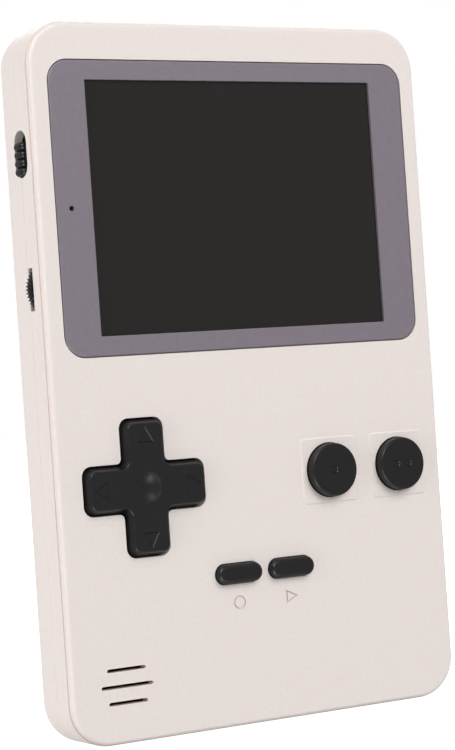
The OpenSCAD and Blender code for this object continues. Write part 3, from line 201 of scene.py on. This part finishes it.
# Shrink sleeve of the battery pack: slate blue, glossy and a little uneven.
pack_sleeve = moulded("pvc_shrink_sleeve", "394552", "404d5b", (0.24, 0.34), 9, 2.5, 0.02)
# Polyimide film of the display ribbon: amber, with a copper lead every 0.8 mm showing through.
# The bands of a wave of scale 1 lie 0.314 apart.
ribbon_film, tree, place, shader = surface("polyimide_film")
leads = add(
    tree, "TexWave", {"Scale": 0.314 * per(0.8), "Distortion": 0.0}, {"Vector": (place, "Object")}
)
tint = add(
    tree, "Mix", {"data_type": "RGBA", 6: linear("8f5518"), 7: linear("c08a44")}, {0: (leads, "Fac")}
)
polish = add(tree, "MapRange", {"To Min": 0.24, "To Max": 0.36}, {"Value": (leads, "Fac")})
raised = add(tree, "Bump", {"Distance": 0.02 * MM}, {"Height": (leads, "Fac")})
finish(tree, shader, (tint, 2), (polish, "Result"), (raised, "Normal"))
# Epoxy glass board under green solder mask: copper traces 0.2 mm wide show paler and a little proud.
board_mask, tree, place, shader = surface("solder_mask_green")
upright = add(tree, "Mapping", {"Rotation": (math.radians(-90), 0, 0)}, {"Vector": (place, "Object")})
traces = add(
    tree,
    "TexBrick",
    {
        "offset": 0.37,
        "squash": 0.6,
        "squash_frequency": 3,
        "Color1": linear("1f5a30"),
        "Color2": linear("255f36"),
        "Mortar": linear("3a7d48"),
        "Scale": per(1),
        "Mortar Size": 0.2,
        "Mortar Smooth": 0.3,
        "Brick Width": 6.3,
        "Row Height": 0.9,
    },
    {"Vector": (upright, "Vector")},
)
polish = add(tree, "MapRange", {"To Min": 0.42, "To Max": 0.3}, {"Value": (traces, "Fac")})
proud = add(tree, "Bump", {"Distance": 0.035 * MM}, {"Height": (traces, "Fac")})
finish(tree, shader, (traces, "Color"), (polish, "Result"), (proud, "Normal"))
# Display glass: black when off.
display_glass = moulded("display_glass", "0c0c0d", "131315", (0.05, 0.1), 20, 5, 0.0005)
# Smoked acrylic of the window, polished: near black and even.
lens_acrylic = moulded(
    "smoked_acrylic", "24211f", "252220", (0.05, 0.09), 25, 6, 0.0005, Specular_IOR_Level=0.2
)
# Clear epoxy of the lamp.
lamp_epoxy = moulded("clear_epoxy", "c7d6cc", "dde9e1", (0.08, 0.16), 1, 0.3, 0.002)

FINISH_OF_SLOT = {
    "shell_plastic": shell_abs,
    "bezel_plastic": bezel_lacquer,
    "lens_acrylic": lens_acrylic,
    "key_plastic": key_abs,
    "black_rubber": black_foam_rubber,
    "grey_rubber": grey_silicone,
    "display_glass": display_glass,
    "white_plastic": white_nylon,
    "foam": cell_foam,
    "ribbon_film": ribbon_film,
    "circuit_board": board_mask,
    "contact_metal": gold_flash,
    "black_plastic": black_epoxy,
    "part_metal": tinned_steel,
    "screw_steel": zinc_steel,
    "magnet_steel": ferrite,
    "cone_paper": cone_paper,
    "lead_plastic": lead_pvc,
    "lamp_lens": lamp_epoxy,
    "pack_case": pack_sleeve,
}
for cad_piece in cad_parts.values():
    for holder in cad_piece.material_slots:
        holder.material = FINISH_OF_SLOT[holder.material.name.split(".")[0]]


# Modelling steps

# How far a cutting tool reaches past the piece that it cuts, in millimetres
PAST = 2.0


def start(operator, at, **settings):
    """Adds a primitive at its place, alone and selected all over in edit mode."""
    bpy.ops.object.select_all(action="DESELECT")
    operator(location=[c * MM for c in at], **settings)
    bpy.ops.object.transform_apply(location=True, rotation=True, scale=True)
    bpy.ops.object.mode_set(mode="EDIT")
    bpy.ops.mesh.select_all(action="SELECT")
    return bpy.context.object


def pick(piece, kind, test):
    """In edit mode, selects the points, edges or faces of a piece that pass a test."""
    bpy.ops.mesh.select_mode(type=kind)
    bpy.ops.mesh.select_all(action="DESELECT")
    mesh = bmesh.from_edit_mesh(piece.data)
    for part in {"VERT": mesh.verts, "EDGE": mesh.edges, "FACE": mesh.faces}[kind]:
        if test(part):
            part.select_set(True)
    bmesh.update_edit_mesh(piece.data)


def middle_of(edge):
    """The middle of an edge."""
    return (edge.verts[0].co + edge.verts[1].co) / 2


def lift(height):
    """Extrudes the selected face upwards."""
    bpy.ops.mesh.extrude_region_move(TRANSFORM_OT_translate={"value": (0, 0, height * MM)})


def draw_in(width, rise=0.0):
    """Insets the selected face, and lifts it."""
    bpy.ops.mesh.inset(thickness=width * MM, depth=rise * MM)


def round_over(radius, steps=5):
    """Rounds the edge of the selected face up to a new top."""
    turns = [math.pi / 2 * k / steps for k in range(steps + 1)]
    for a, b in zip(turns, turns[1:]):
        draw_in(radius * (math.cos(a) - math.cos(b)), radius * (math.sin(b) - math.sin(a)))


def slab(width, height, corner, at, segments=10):
    """Starts a flat rectangle with round corners, with its face selected."""
    piece = start(bpy.ops.mesh.primitive_plane_add, at, size=1)
    bpy.ops.transform.resize(value=(width * MM, height * MM, 1), center_override=[c * MM for c in at])
    bpy.ops.mesh.bevel(affect="VERTICES", offset=corner * MM * 0.9999, segments=segments)
    bpy.ops.mesh.select_all(action="SELECT")
    bpy.ops.mesh.remove_doubles(threshold=0.01 * MM)
    pick(piece, "FACE", lambda face: True)
    return piece


def turned(at, rings, sides=96):
    """Starts a turned piece from a disc, extruded and resized through rings of (radius, height)."""
    x, y = at
    (radius, height), *rest = rings
    piece = start(
        bpy.ops.mesh.primitive_circle_add, (x, y, height), vertices=sides, radius=radius * MM, fill_type="NGON"
    )
    for next_radius, next_height in rest:
        lift(next_height - height)
        share = next_radius / radius
        bpy.ops.transform.resize(value=(share, share, 1), center_override=(x * MM, y * MM, next_height * MM))
        radius, height = next_radius, next_height
    return piece


def shaped(piece):
    """Ends edit mode."""
    bpy.ops.object.mode_set(mode="OBJECT")
    return piece


def alone(piece):
    """Selects a piece and nothing else."""
    bpy.ops.object.select_all(action="DESELECT")
    piece.select_set(True)
    bpy.context.view_layer.objects.active = piece


def worked(piece, tool, operation="DIFFERENCE"):
    """Cuts a tool out of a piece, or joins it on, and takes the tool away."""
    alone(piece)
    work = piece.modifiers.new("work", "BOOLEAN")
    work.operation = operation
    work.solver = "EXACT"
    work.object = tool
    bpy.ops.object.modifier_apply(modifier=work.name)
    bpy.data.meshes.remove(tool.data)
    return piece


def placed_copy(piece, matrix):
    """A copy of a piece with its own mesh, moved by a matrix."""
    alone(piece)
    bpy.ops.object.duplicate()
    copy = bpy.context.object
    copy.matrix_world = matrix @ copy.matrix_world
    bpy.ops.object.transform_apply(location=True, rotation=True, scale=True)
    return copy


def put(piece, name, body, slot, *nodes, stand=FACE_UP, smooth=35):
    """Stands a piece up in the frame, smooths it, and says what it rides on and stands for."""
    alone(piece)
    piece.name = name
    piece.data.name = name
    bpy.ops.object.mode_set(mode="EDIT")
    bpy.ops.mesh.select_all(action="SELECT")
    bpy.ops.mesh.remove_doubles(threshold=0.001 * MM)
    bpy.ops.mesh.normals_make_consistent(inside=False)
    bpy.ops.object.mode_set(mode="OBJECT")
    piece.matrix_world = stand
    bpy.ops.object.transform_apply(location=True, rotation=True, scale=True)
    bpy.ops.object.shade_smooth_by_angle(angle=math.radians(smooth))
    even = piece.modifiers.new("even", "WEIGHTED_NORMAL")
    even.keep_sharp = True
    bpy.ops.object.modifier_apply(modifier=even.name)
    piece.data.materials.clear()
    piece.data.materials.append(FINISH_OF_SLOT[slot])
    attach(piece, body)
    if nodes:
        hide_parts(*nodes)
    return piece


# Screen bezel

SCREEN_Y = 93.8
BEZEL_W, BEZEL_H, BEZEL_CORNER = 74.6, 52.0, 3.9
BEZEL_SEAT, BEZEL_TOP, BEZEL_ROUND = -0.95, 0.1, 0.32
WINDOW_W, WINDOW_H, WINDOW_EDGE = 60.3, 45.0, 0.12
LAMP_X, LAMP_HOLE_R = -34.3, 0.475

bezel = slab(BEZEL_W, BEZEL_H, BEZEL_CORNER, (0, SCREEN_Y, BEZEL_SEAT), 16)
lift(BEZEL_TOP - BEZEL_ROUND - BEZEL_SEAT)
round_over(BEZEL_ROUND)
shaped(bezel)
window = slab(WINDOW_W, WINDOW_H, 0.2, (0, SCREEN_Y, BEZEL_SEAT - PAST), 3)
lift(BEZEL_TOP - BEZEL_SEAT + 2 * PAST)
worked(bezel, shaped(window))
lamp_hole = turned((LAMP_X, SCREEN_Y), ((LAMP_HOLE_R, BEZEL_SEAT - PAST), (LAMP_HOLE_R, PAST)), 32)
worked(bezel, shaped(lamp_hole))
alone(bezel)
bpy.ops.object.mode_set(mode="EDIT")
pick(
    bezel,
    "EDGE",
    lambda edge: all(
        abs(v.co.z - BEZEL_TOP * MM) < 1e-6
        and abs(v.co.x) < (WINDOW_W / 2 + 0.01) * MM
        and abs(v.co.y - SCREEN_Y * MM) < (WINDOW_H / 2 + 0.01) * MM
        for v in edge.verts
    ),
)
bpy.ops.mesh.bevel(offset=WINDOW_EDGE * MM, segments=3, clamp_overlap=False)
shaped(bezel)
put(bezel, "bezel_frame", "console", "bezel_plastic", "screen_bezel")

# Cross pad

PAD_X, PAD_Y = -23.6, 44.4
PAD_ARM_W, PAD_ARM_L = 4.05, 11.95
PAD_CORNER, PAD_FILLET = 1.8, 1.0
PAD_FOOT, PAD_TOP, PAD_DRAFT, PAD_ROUND = -3.65, 1.55, 0.55, 0.25
PAD_FLANGE_R, PAD_FLANGE_Z = 8.6, -2.65
HUB_R, BALL_R, BALL_Z = 2.6, 1.65, -5.28
DIMPLE_R, DIMPLE_DEEP = 2.7, 0.7
ARROW_W, ARROW_H, ARROW_IN = 3.2, 2.8, 3.1
MARK_DEEP, MARK_SLOPE = 0.2, 0.16
# The corners between the arms lie nearer to the middle of the pad than this, and the arms' ends farther
PAD_INNER = 8.0

pad = start(bpy.ops.mesh.primitive_plane_add, (PAD_X, PAD_Y, PAD_FOOT), size=2 * PAD_ARM_W * MM)
pad_middle = Vector((PAD_X, PAD_Y, PAD_FOOT)) * MM
for k in range(4):
    way = Vector((round(math.cos(k * math.pi / 2)), round(math.sin(k * math.pi / 2)), 0))
    arm_foot = pad_middle + way * PAD_ARM_W * MM
    pick(pad, "EDGE", lambda edge: (middle_of(edge) - arm_foot).length < 1e-6)
    reach = way * (PAD_ARM_L - PAD_ARM_W) * MM
    bpy.ops.mesh.extrude_region_move(TRANSFORM_OT_translate={"value": reach})
pick(pad, "FACE", lambda face: True)
bpy.ops.mesh.dissolve_faces()
pick(pad, "VERT", lambda v: (v.co - pad_middle).length > PAD_INNER * MM)
bpy.ops.mesh.bevel(affect="VERTICES", offset=PAD_CORNER * MM, segments=10)
pick(pad, "VERT", lambda v: (v.co - pad_middle).length < PAD_INNER * MM)
bpy.ops.mesh.bevel(affect="VERTICES", offset=PAD_FILLET * MM, segments=10)
pick(pad, "FACE", lambda face: True)
lift(-PAD_FOOT)
draw_in(PAD_DRAFT, PAD_TOP - PAD_ROUND)
round_over(PAD_ROUND)
shaped(pad)
pad_flange = turned(
    (PAD_X, PAD_Y),
    ((HUB_R, BALL_Z + 0.1), (HUB_R, PAD_FOOT), (PAD_FLANGE_R, PAD_FOOT), (PAD_FLANGE_R, PAD_FLANGE_Z)),
)
worked(pad, shaped(pad_flange), "UNION")
socket = start(
    bpy.ops.mesh.primitive_uv_sphere_add,
    (PAD_X, PAD_Y, BALL_Z),
    segments=48,
    ring_count=32,
    radius=BALL_R * MM,
)
worked(pad, shaped(socket))
dish_r = (DIMPLE_R**2 + DIMPLE_DEEP**2) / (2 * DIMPLE_DEEP)
dish = start(
    bpy.ops.mesh.primitive_uv_sphere_add,
    (PAD_X, PAD_Y, PAD_TOP - DIMPLE_DEEP + dish_r),
    segments=96,
    ring_count=96,
    radius=dish_r * MM,
)
worked(pad, shaped(dish))
arrow = start(bpy.ops.mesh.primitive_circle_add, (0, 0, 0.5), vertices=3, radius=MM, fill_type="NGON")
bpy.ops.transform.resize(value=(ARROW_W / 3**0.5, ARROW_H / 1.5, 1), center_override=(0, 0, 0))
lift(-0.5)
draw_in(MARK_SLOPE, -MARK_DEEP)
bpy.ops.mesh.select_all(action="SELECT")
bpy.ops.mesh.normals_make_consistent(inside=False)
shaped(arrow)
for k in range(4):
    outward = Matrix.Rotation(k * math.pi / 2, 4, "Z")
    at_arm = Matrix.Translation(Vector((PAD_X, PAD_Y, PAD_TOP)) * MM) @ outward
    cut = placed_copy(arrow, at_arm @ Matrix.Translation((0, (PAD_ARM_L - ARROW_IN) * MM, 0)))
    worked(pad, cut)
bpy.data.meshes.remove(arrow.data)
put(pad, "cross_key", "cross_pad", "key_plastic", "cross_pad")

# Round buttons

BUTTON_Y, BUTTON_XS = 44.5, (15.5, 30.8)
BUTTON_R, BUTTON_TOP, BUTTON_ROUND = 4.9, 2.0, 0.35
FLANGE_OUT, FLANGE_Z, FLANGE_T, KEY_FOOT = 0.85, -1.88, 0.8, -3.38
BUTTON_STEM_R = 3.1
DOT_R, DOT_PITCH = 0.7, 2.6
# One dot on the left button and two on the right
DOT_ROWS = ((0,), (-DOT_PITCH / 2, DOT_PITCH / 2))

for side, x, dots in zip(("left", "right"), BUTTON_XS, DOT_ROWS):
    button = turned(
        (x, BUTTON_Y),
        (
            (BUTTON_STEM_R, KEY_FOOT),
            (BUTTON_STEM_R, FLANGE_Z - FLANGE_T),
            (BUTTON_R + FLANGE_OUT, FLANGE_Z - FLANGE_T),
            (BUTTON_R + FLANGE_OUT, FLANGE_Z),
            (BUTTON_R, FLANGE_Z),
            (BUTTON_R, BUTTON_TOP - BUTTON_ROUND),
        ),
    )
    round_over(BUTTON_ROUND, 6)
    shaped(button)
    for dot_x in dots:
        dot = turned(
            (x + dot_x, BUTTON_Y),
            ((DOT_R - MARK_SLOPE, BUTTON_TOP - MARK_DEEP), (DOT_R, BUTTON_TOP), (DOT_R, BUTTON_TOP + PAST)),
            40,
        )
        worked(button, shaped(dot))
    put(button, f"button_{side}_key", f"button_{side}", "key_plastic", f"button_{side}")

# Pill buttons

PILL_Y, PILL_XS = 27.5, (-5.75, 5.45)
PILL_L, PILL_W, PILL_TOP, PILL_ROUND = 9.2, 3.45, 1.45, 0.65
PILL_STEM_R = 1.6

for side, x in zip(("left", "right"), PILL_XS):
    flange_w = PILL_W + 2 * FLANGE_OUT
    pill = slab(PILL_L + 2 * FLANGE_OUT, flange_w, flange_w / 2, (x, PILL_Y, FLANGE_Z - FLANGE_T), 20)
    lift(FLANGE_T)
    draw_in(FLANGE_OUT)
    lift(PILL_TOP - PILL_ROUND - FLANGE_Z)
    round_over(PILL_ROUND, 6)
    shaped(pill)
    stem = turned((x, PILL_Y), ((PILL_STEM_R, KEY_FOOT), (PILL_STEM_R, FLANGE_Z - FLANGE_T / 2)), 48)
    worked(pill, shaped(stem), "UNION")
    put(pill, f"pill_{side}_key", f"pill_{side}", "key_plastic", f"pill_{side}")

# Power switch, modelled looking at the side: x up the wall, y to the back and z out of the wall

SWITCH_AT = Matrix.Translation((0, -1.9 * MM, 103.0 * MM))
SIDE_UP = SWITCH_AT @ Matrix(((0, 0, -1, 0), (0, 1, 0, 0), (1, 0, 0, 0), (0, 0, 0, 1)))
CAP_L, CAP_W = 6.0, 4.1
LEVER_END, CAP_ROOT, CAP_FLANGE_TOP, CAP_TOP = 37.0, 38.4, 39.1, 40.7
CAP_FLANGE_L, CAP_FLANGE_W = 11.3, 5.8
LEVER_L, LEVER_W, CAP_ROUND = 1.6, 1.0, 0.2
RIB_R, RIB_COUNT, RIB_FRONT, RIB_BACK = 0.8, 4, -1.45, 1.9

switch = slab(CAP_L, CAP_W, CAP_W / 2, (0, 0, CAP_ROOT), 16)
lift(CAP_TOP - CAP_ROUND - CAP_ROOT)
round_over(CAP_ROUND, 3)
shaped(switch)
switch_flange = slab(CAP_FLANGE_L, CAP_FLANGE_W, 0.4, (0, 0, CAP_ROOT), 4)
lift(CAP_FLANGE_TOP - CAP_ROOT)
worked(switch, shaped(switch_flange), "UNION")
lever = slab(LEVER_L, LEVER_W, 0.15, (0, 0, LEVER_END), 3)
lift(CAP_ROOT + 0.3 - LEVER_END)
worked(switch, shaped(lever), "UNION")
rib = start(
    bpy.ops.mesh.primitive_uv_sphere_add,
    (0, 0, 0),
    segments=32,
    ring_count=20,
    radius=RIB_R * MM,
    rotation=(math.pi / 2, 0, 0),
)
for side, end in ((-1, RIB_FRONT + RIB_R), (1, RIB_BACK - RIB_R)):
    pick(rib, "VERT", lambda v: v.co.y * side > 1e-7 or (side > 0 and v.co.y > -1e-7))
    bpy.ops.transform.translate(value=(0, end * MM, 0))
shaped(rib)
for k in range(RIB_COUNT):
    up = (k / (RIB_COUNT - 1) - 0.5) * (CAP_L - 2 * RIB_R)
    worked(switch, placed_copy(rib, Matrix.Translation((up * MM, 0, CAP_TOP * MM))), "UNION")
bpy.data.meshes.remove(rib.data)
put(switch, "power_cap", "power_switch", "key_plastic", "power_switch", stand=SIDE_UP)

# Volume wheel

WHEEL_X, WHEEL_Y = -36.825, 80.2
WHEEL_R, WHEEL_TEETH, TOOTH_DEEP, WHEEL_EDGE = 4.875, 46, 0.45, 0.05
WHEEL_FOOT, WHEEL_T, SHAFT_R, SHAFT_END = -5.225, 1.2, 1.2, -6.7

wheel = start(
    bpy.ops.mesh.primitive_circle_add,
    (WHEEL_X, WHEEL_Y, WHEEL_FOOT),
    vertices=2 * WHEEL_TEETH,
    radius=WHEEL_R * MM,
    fill_type="NGON",
)
wheel_middle = Vector((WHEEL_X, WHEEL_Y, WHEEL_FOOT)) * MM


def is_valley(v):
    """Every second point of the wheel's rim lies between two teeth."""
    arm = v.co - wheel_middle
    return round(math.atan2(arm.x, arm.y) / math.pi * WHEEL_TEETH) % 2 == 0


pick(wheel, "VERT", is_valley)
inward = 1 - TOOTH_DEEP / WHEEL_R
bpy.ops.transform.resize(value=(inward, inward, 1), center_override=wheel_middle)
pick(wheel, "FACE", lambda face: True)
lift(WHEEL_T)
pick(wheel, "EDGE", lambda edge: abs(edge.verts[0].co.z - edge.verts[1].co.z) < 1e-7)
bpy.ops.mesh.bevel(offset=WHEEL_EDGE * MM, segments=1)
shaped(wheel)
shaft = turned((WHEEL_X, WHEEL_Y), ((SHAFT_R, SHAFT_END), (SHAFT_R, WHEEL_FOOT + WHEEL_T / 2)), 48)
worked(wheel, shaped(shaft), "UNION")
put(wheel, "volume_thumbwheel", "volume_wheel", "key_plastic", "volume_wheel", smooth=20)

# Key mats: sheets of silicone on the board, with domes that flatten under the keys

BOARD_Z, MAT_T, MAT_CORNER = -6.9, 0.8, 1.5
DOME_WALL, DOME_ROOF = 0.6, 0.9
MAT_ROUND, DOME_ROUND = 0.2, 0.25
PAD_MAT_W, PAD_DOME_OUT, HUB_HOLE_R = 25.7, 7.85, 3.1
BUTTON_MAT, PILL_MAT = (27.3, 12.0), (17.4, 6.2)
PAD_DOME, BUTTON_DOME, PILL_DOME = (3.2, 2.3), (4.2, 3.1), (2.4, 1.6)
PAD_DOME_TOP, KEY_DOME_TOP = -3.8, -3.46
# The share of its height that a dome keeps at its key's limit
PAD_KEEP, BUTTON_KEEP, PILL_KEEP = 0.82, 0.738, 0.767


def mat_sheet(node, size, at, holes):
    """A sheet with round holes for its domes."""
    sheet = slab(*size, MAT_CORNER, (*at, BOARD_Z), 8)
    lift(MAT_T - MAT_ROUND)
    round_over(MAT_ROUND, 3)
    shaped(sheet)
    for x, y, r in holes:
        worked(sheet, shaped(turned((x, y), ((r, BOARD_Z - PAST), (r, BOARD_Z + PAST)), 64)))
    put(sheet, f"{node}_sheet", "console", "grey_rubber", node)


def mat_dome(node, name, at, radii, top):
    """A hollow dome under a key."""
    foot, crown = radii
    rubber = turned(at, ((foot, BOARD_Z), (foot, BOARD_Z + MAT_T), (crown, top - DOME_ROUND)), 64)
    round_over(DOME_ROUND, 4)
    shaped(rubber)
    hollow = turned(
        at,
        (
            (foot - DOME_WALL, BOARD_Z - PAST),
            (foot - DOME_WALL, BOARD_Z + MAT_T),
            (crown - DOME_WALL, top - DOME_ROOF),
        ),
        64,
    )
    worked(rubber, shaped(hollow))
    put(rubber, f"{node}_dome_{name}", "console", "grey_rubber", node)
    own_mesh(rubber)


pad_domes = {
    "up": (PAD_X, PAD_Y + PAD_DOME_OUT),
    "down": (PAD_X, PAD_Y - PAD_DOME_OUT),
    "left": (PAD_X - PAD_DOME_OUT, PAD_Y),
    "right": (PAD_X + PAD_DOME_OUT, PAD_Y),
}
mat_sheet(
    "pad_mat",
    (PAD_MAT_W, PAD_MAT_W),
    (PAD_X, PAD_Y),
    [(*at, PAD_DOME[0]) for at in pad_domes.values()] + [(PAD_X, PAD_Y, HUB_HOLE_R)],
)
for name, at in pad_domes.items():
    joint = "pad_rock_up_down" if name in ("up", "down") else "pad_rock_left_right"
    mat_dome("pad_mat", name, at, PAD_DOME, PAD_DOME_TOP)
mat_sheet(
    "button_mat",
    BUTTON_MAT,
    (sum(BUTTON_XS) / 2, BUTTON_Y),
    [(x, BUTTON_Y, BUTTON_DOME[0]) for x in BUTTON_XS],
)
mat_sheet("pill_mat", PILL_MAT, (sum(PILL_XS) / 2, PILL_Y), [(x, PILL_Y, PILL_DOME[0]) for x in PILL_XS])
for side, button_x, pill_x in zip(("left", "right"), BUTTON_XS, PILL_XS):
    for node, at, radii, joint, keep in (
        ("button_mat", (button_x, BUTTON_Y), BUTTON_DOME, f"button_{side}_press", BUTTON_KEEP),
        ("pill_mat", (pill_x, PILL_Y), PILL_DOME, f"pill_{side}_press", PILL_KEEP),
    ):
        mat_dome(node, side, at, radii, KEY_DOME_TOP)

# Gaskets

FRONT_BACK_Z = -1.8
LCD_GASKET, LCD_GASKET_Y, LCD_GASKET_T = (63.3, 50.5), 92.55, 0.3
LCD_OPENING = (61.7, 46.4)
SPEAKER_X, SPEAKER_Y, SPEAKER_R = -29.7, 10.2, 8.0
SPEAKER_GASKET_W, SPEAKER_GASKET_T = 1.6, 0.4
LCD_GASKET_ROUND, SPEAKER_GASKET_ROUND = 0.08, 0.1

lcd_gasket = slab(*LCD_GASKET, 0.5, (0, LCD_GASKET_Y, FRONT_BACK_Z - LCD_GASKET_T), 4)
lift(LCD_GASKET_T - LCD_GASKET_ROUND)
round_over(LCD_GASKET_ROUND, 2)
shaped(lcd_gasket)
opening = slab(*LCD_OPENING, 0.4, (0, SCREEN_Y, FRONT_BACK_Z - PAST), 4)
lift(2 * PAST)
worked(lcd_gasket, shaped(opening))
put(lcd_gasket, "lcd_gasket_frame", "console", "black_rubber", "lcd_gasket")

speaker_gasket = turned(
    (SPEAKER_X, SPEAKER_Y),
    ((SPEAKER_R, FRONT_BACK_Z - SPEAKER_GASKET_T), (SPEAKER_R, FRONT_BACK_Z - SPEAKER_GASKET_ROUND)),
)
round_over(SPEAKER_GASKET_ROUND, 2)
shaped(speaker_gasket)
inner_r = SPEAKER_R - SPEAKER_GASKET_W
cone_hole = turned(
    (SPEAKER_X, SPEAKER_Y), ((inner_r, FRONT_BACK_Z - PAST), (inner_r, FRONT_BACK_Z + PAST))
)
worked(speaker_gasket, shaped(cone_hole))
put(speaker_gasket, "speaker_gasket_ring", "console", "black_rubber", "speaker_gasket")

# Foam between the display and the battery bay, pressed flat, with sides drawn in between its corners

FOAM_W, FOAM_H, FOAM_Y = 49.6, 33.7, 90.45
FOAM_BACK, FOAM_T, FOAM_PULL, FOAM_EDGE = -6.15, 1.75, 0.6, 0.45

foam = start(
    bpy.ops.mesh.primitive_grid_add, (0, FOAM_Y, FOAM_BACK), x_subdivisions=36, y_subdivisions=24, size=1
)
bpy.ops.transform.resize(value=(FOAM_W * MM, FOAM_H * MM, 1), center_override=(0, FOAM_Y * MM, 0))
for v in bmesh.from_edit_mesh(foam.data).verts:
    across = v.co.x / (FOAM_W / 2 * MM)
    along = (v.co.y - FOAM_Y * MM) / (FOAM_H / 2 * MM)
    v.co.x -= FOAM_PULL * MM * across**3 * (1 - along**2)
    v.co.y -= FOAM_PULL * MM * along**3 * (1 - across**2)
lift(FOAM_T)
bpy.ops.mesh.region_to_loop()
bpy.ops.mesh.bevel(offset=FOAM_EDGE * MM, segments=4, clamp_overlap=False)
shaped(foam)
put(foam, "lcd_foam_pad", "console", "foam", "lcd_foam", smooth=50)

# Stage: a white floor and soft light

FLOOR_SIZE, FLOOR_GLOW = 6.0, 0.95
bpy.ops.object.select_all(action="DESELECT")
bpy.ops.mesh.primitive_plane_add(size=FLOOR_SIZE, location=(0, 0, cad_low.z))
floor = bpy.context.object
floor.name = "floor"
# White paper lit from below as well, so that it is as bright as the backdrop and shows only the contact shadow
floor_paper, tree, place, shader = surface("floor_paper", Roughness=0.9, Specular_IOR_Level=0.1)
shader.inputs["Base Color"].default_value = linear("b4b4b4")
shader.inputs["Emission Color"].default_value = (1, 1, 1, 1)
shader.inputs["Emission Strength"].default_value = FLOOR_GLOW
floor.data.materials.append(floor_paper)
floor.visible_diffuse = False
floor.visible_glossy = False
floor.visible_shadow = False

# The backdrop shows white, and lights the console less than it shows
WORLD_MIRRORED, WORLD_LIGHT, WORLD_SHOWN = 0.6, 0.45, 1.0
world = bpy.data.worlds.new("studio")
bpy.context.scene.world = world
world.use_nodes = True
world.node_tree.nodes.clear()
path = add(world.node_tree, "LightPath", {})
lit = add(
    world.node_tree,
    "MapRange",
    {"To Min": WORLD_MIRRORED, "To Max": WORLD_LIGHT},
    {"Value": (path, "Is Diffuse Ray")},
)
shown = add(
    world.node_tree,
    "MapRange",
    {"To Max": WORLD_SHOWN},
    {"Value": (path, "Is Camera Ray"), "To Min": (lit, "Result")},
)
backdrop = add(world.node_tree, "Background", {"Color": (1, 1, 1, 1)}, {"Strength": (shown, "Result")})
add(world.node_tree, "OutputWorld", {}, {"Surface": (backdrop, "Background")})


def softbox(name, at, size, watts, lights=True, glints=True):
    """A square soft lamp that looks at the console, and may only light it or only glint on it."""
    lamp = bpy.data.lights.new(name, "AREA")
    lamp.size = size
    lamp.energy = watts
    holder = bpy.data.objects.new(name, lamp)
    bpy.context.scene.collection.objects.link(holder)
    holder.visible_camera = False
    holder.visible_diffuse = lights
    holder.visible_glossy = glints
    middle = (cad_low + cad_high) / 2
    holder.location = Vector(at)
    holder.rotation_euler = (middle - holder.location).to_track_quat("-Z", "Y").to_euler()


# Large lamps light the face, the left side and the back.
# Small ones only glint, on the edges of the keys and in the pad's dish.
softbox("front", (0.2, -1.0, 0.75), 0.9, 10.1, glints=False)
softbox("left", (-1.2, 0.03, 0.0), 1.2, 10.4, glints=False)
softbox("back", (0.5, 1.0, 0.6), 0.9, 9.0)
softbox("upper_left", (-0.50, -0.47, 0.65), 0.4, 9.5, lights=False)
softbox("lower_left", (-0.50, -0.47, -0.52), 0.4, 9.0, lights=False)
softbox("upper_front", (0.29, -0.90, 0.61), 0.25, 1.8, lights=False)
softbox("lower_front", (0.29, -0.90, -0.52), 0.25, 3.0, lights=False)

# The camera looks from the photograph's angle: the columns are its right, its up, its back and its place
camera = bpy.data.cameras.new("camera")
camera.lens = 110.58
camera.sensor_width = 36
camera_holder = bpy.data.objects.new("camera", camera)
bpy.context.scene.collection.objects.link(camera_holder)
camera_holder.matrix_world = Matrix(
    (
        (0.8537, 0.0558, -0.5178, -220.0 * MM),
        (-0.5163, -0.0404, -0.8555, -362.1 * MM),
        (-0.0687, 0.9976, -0.0057, 60.8 * MM),
        (0, 0, 0, 1),
    )
)
bpy.context.scene.camera = camera_holder
bpy.context.scene.view_settings.view_transform = "Standard"
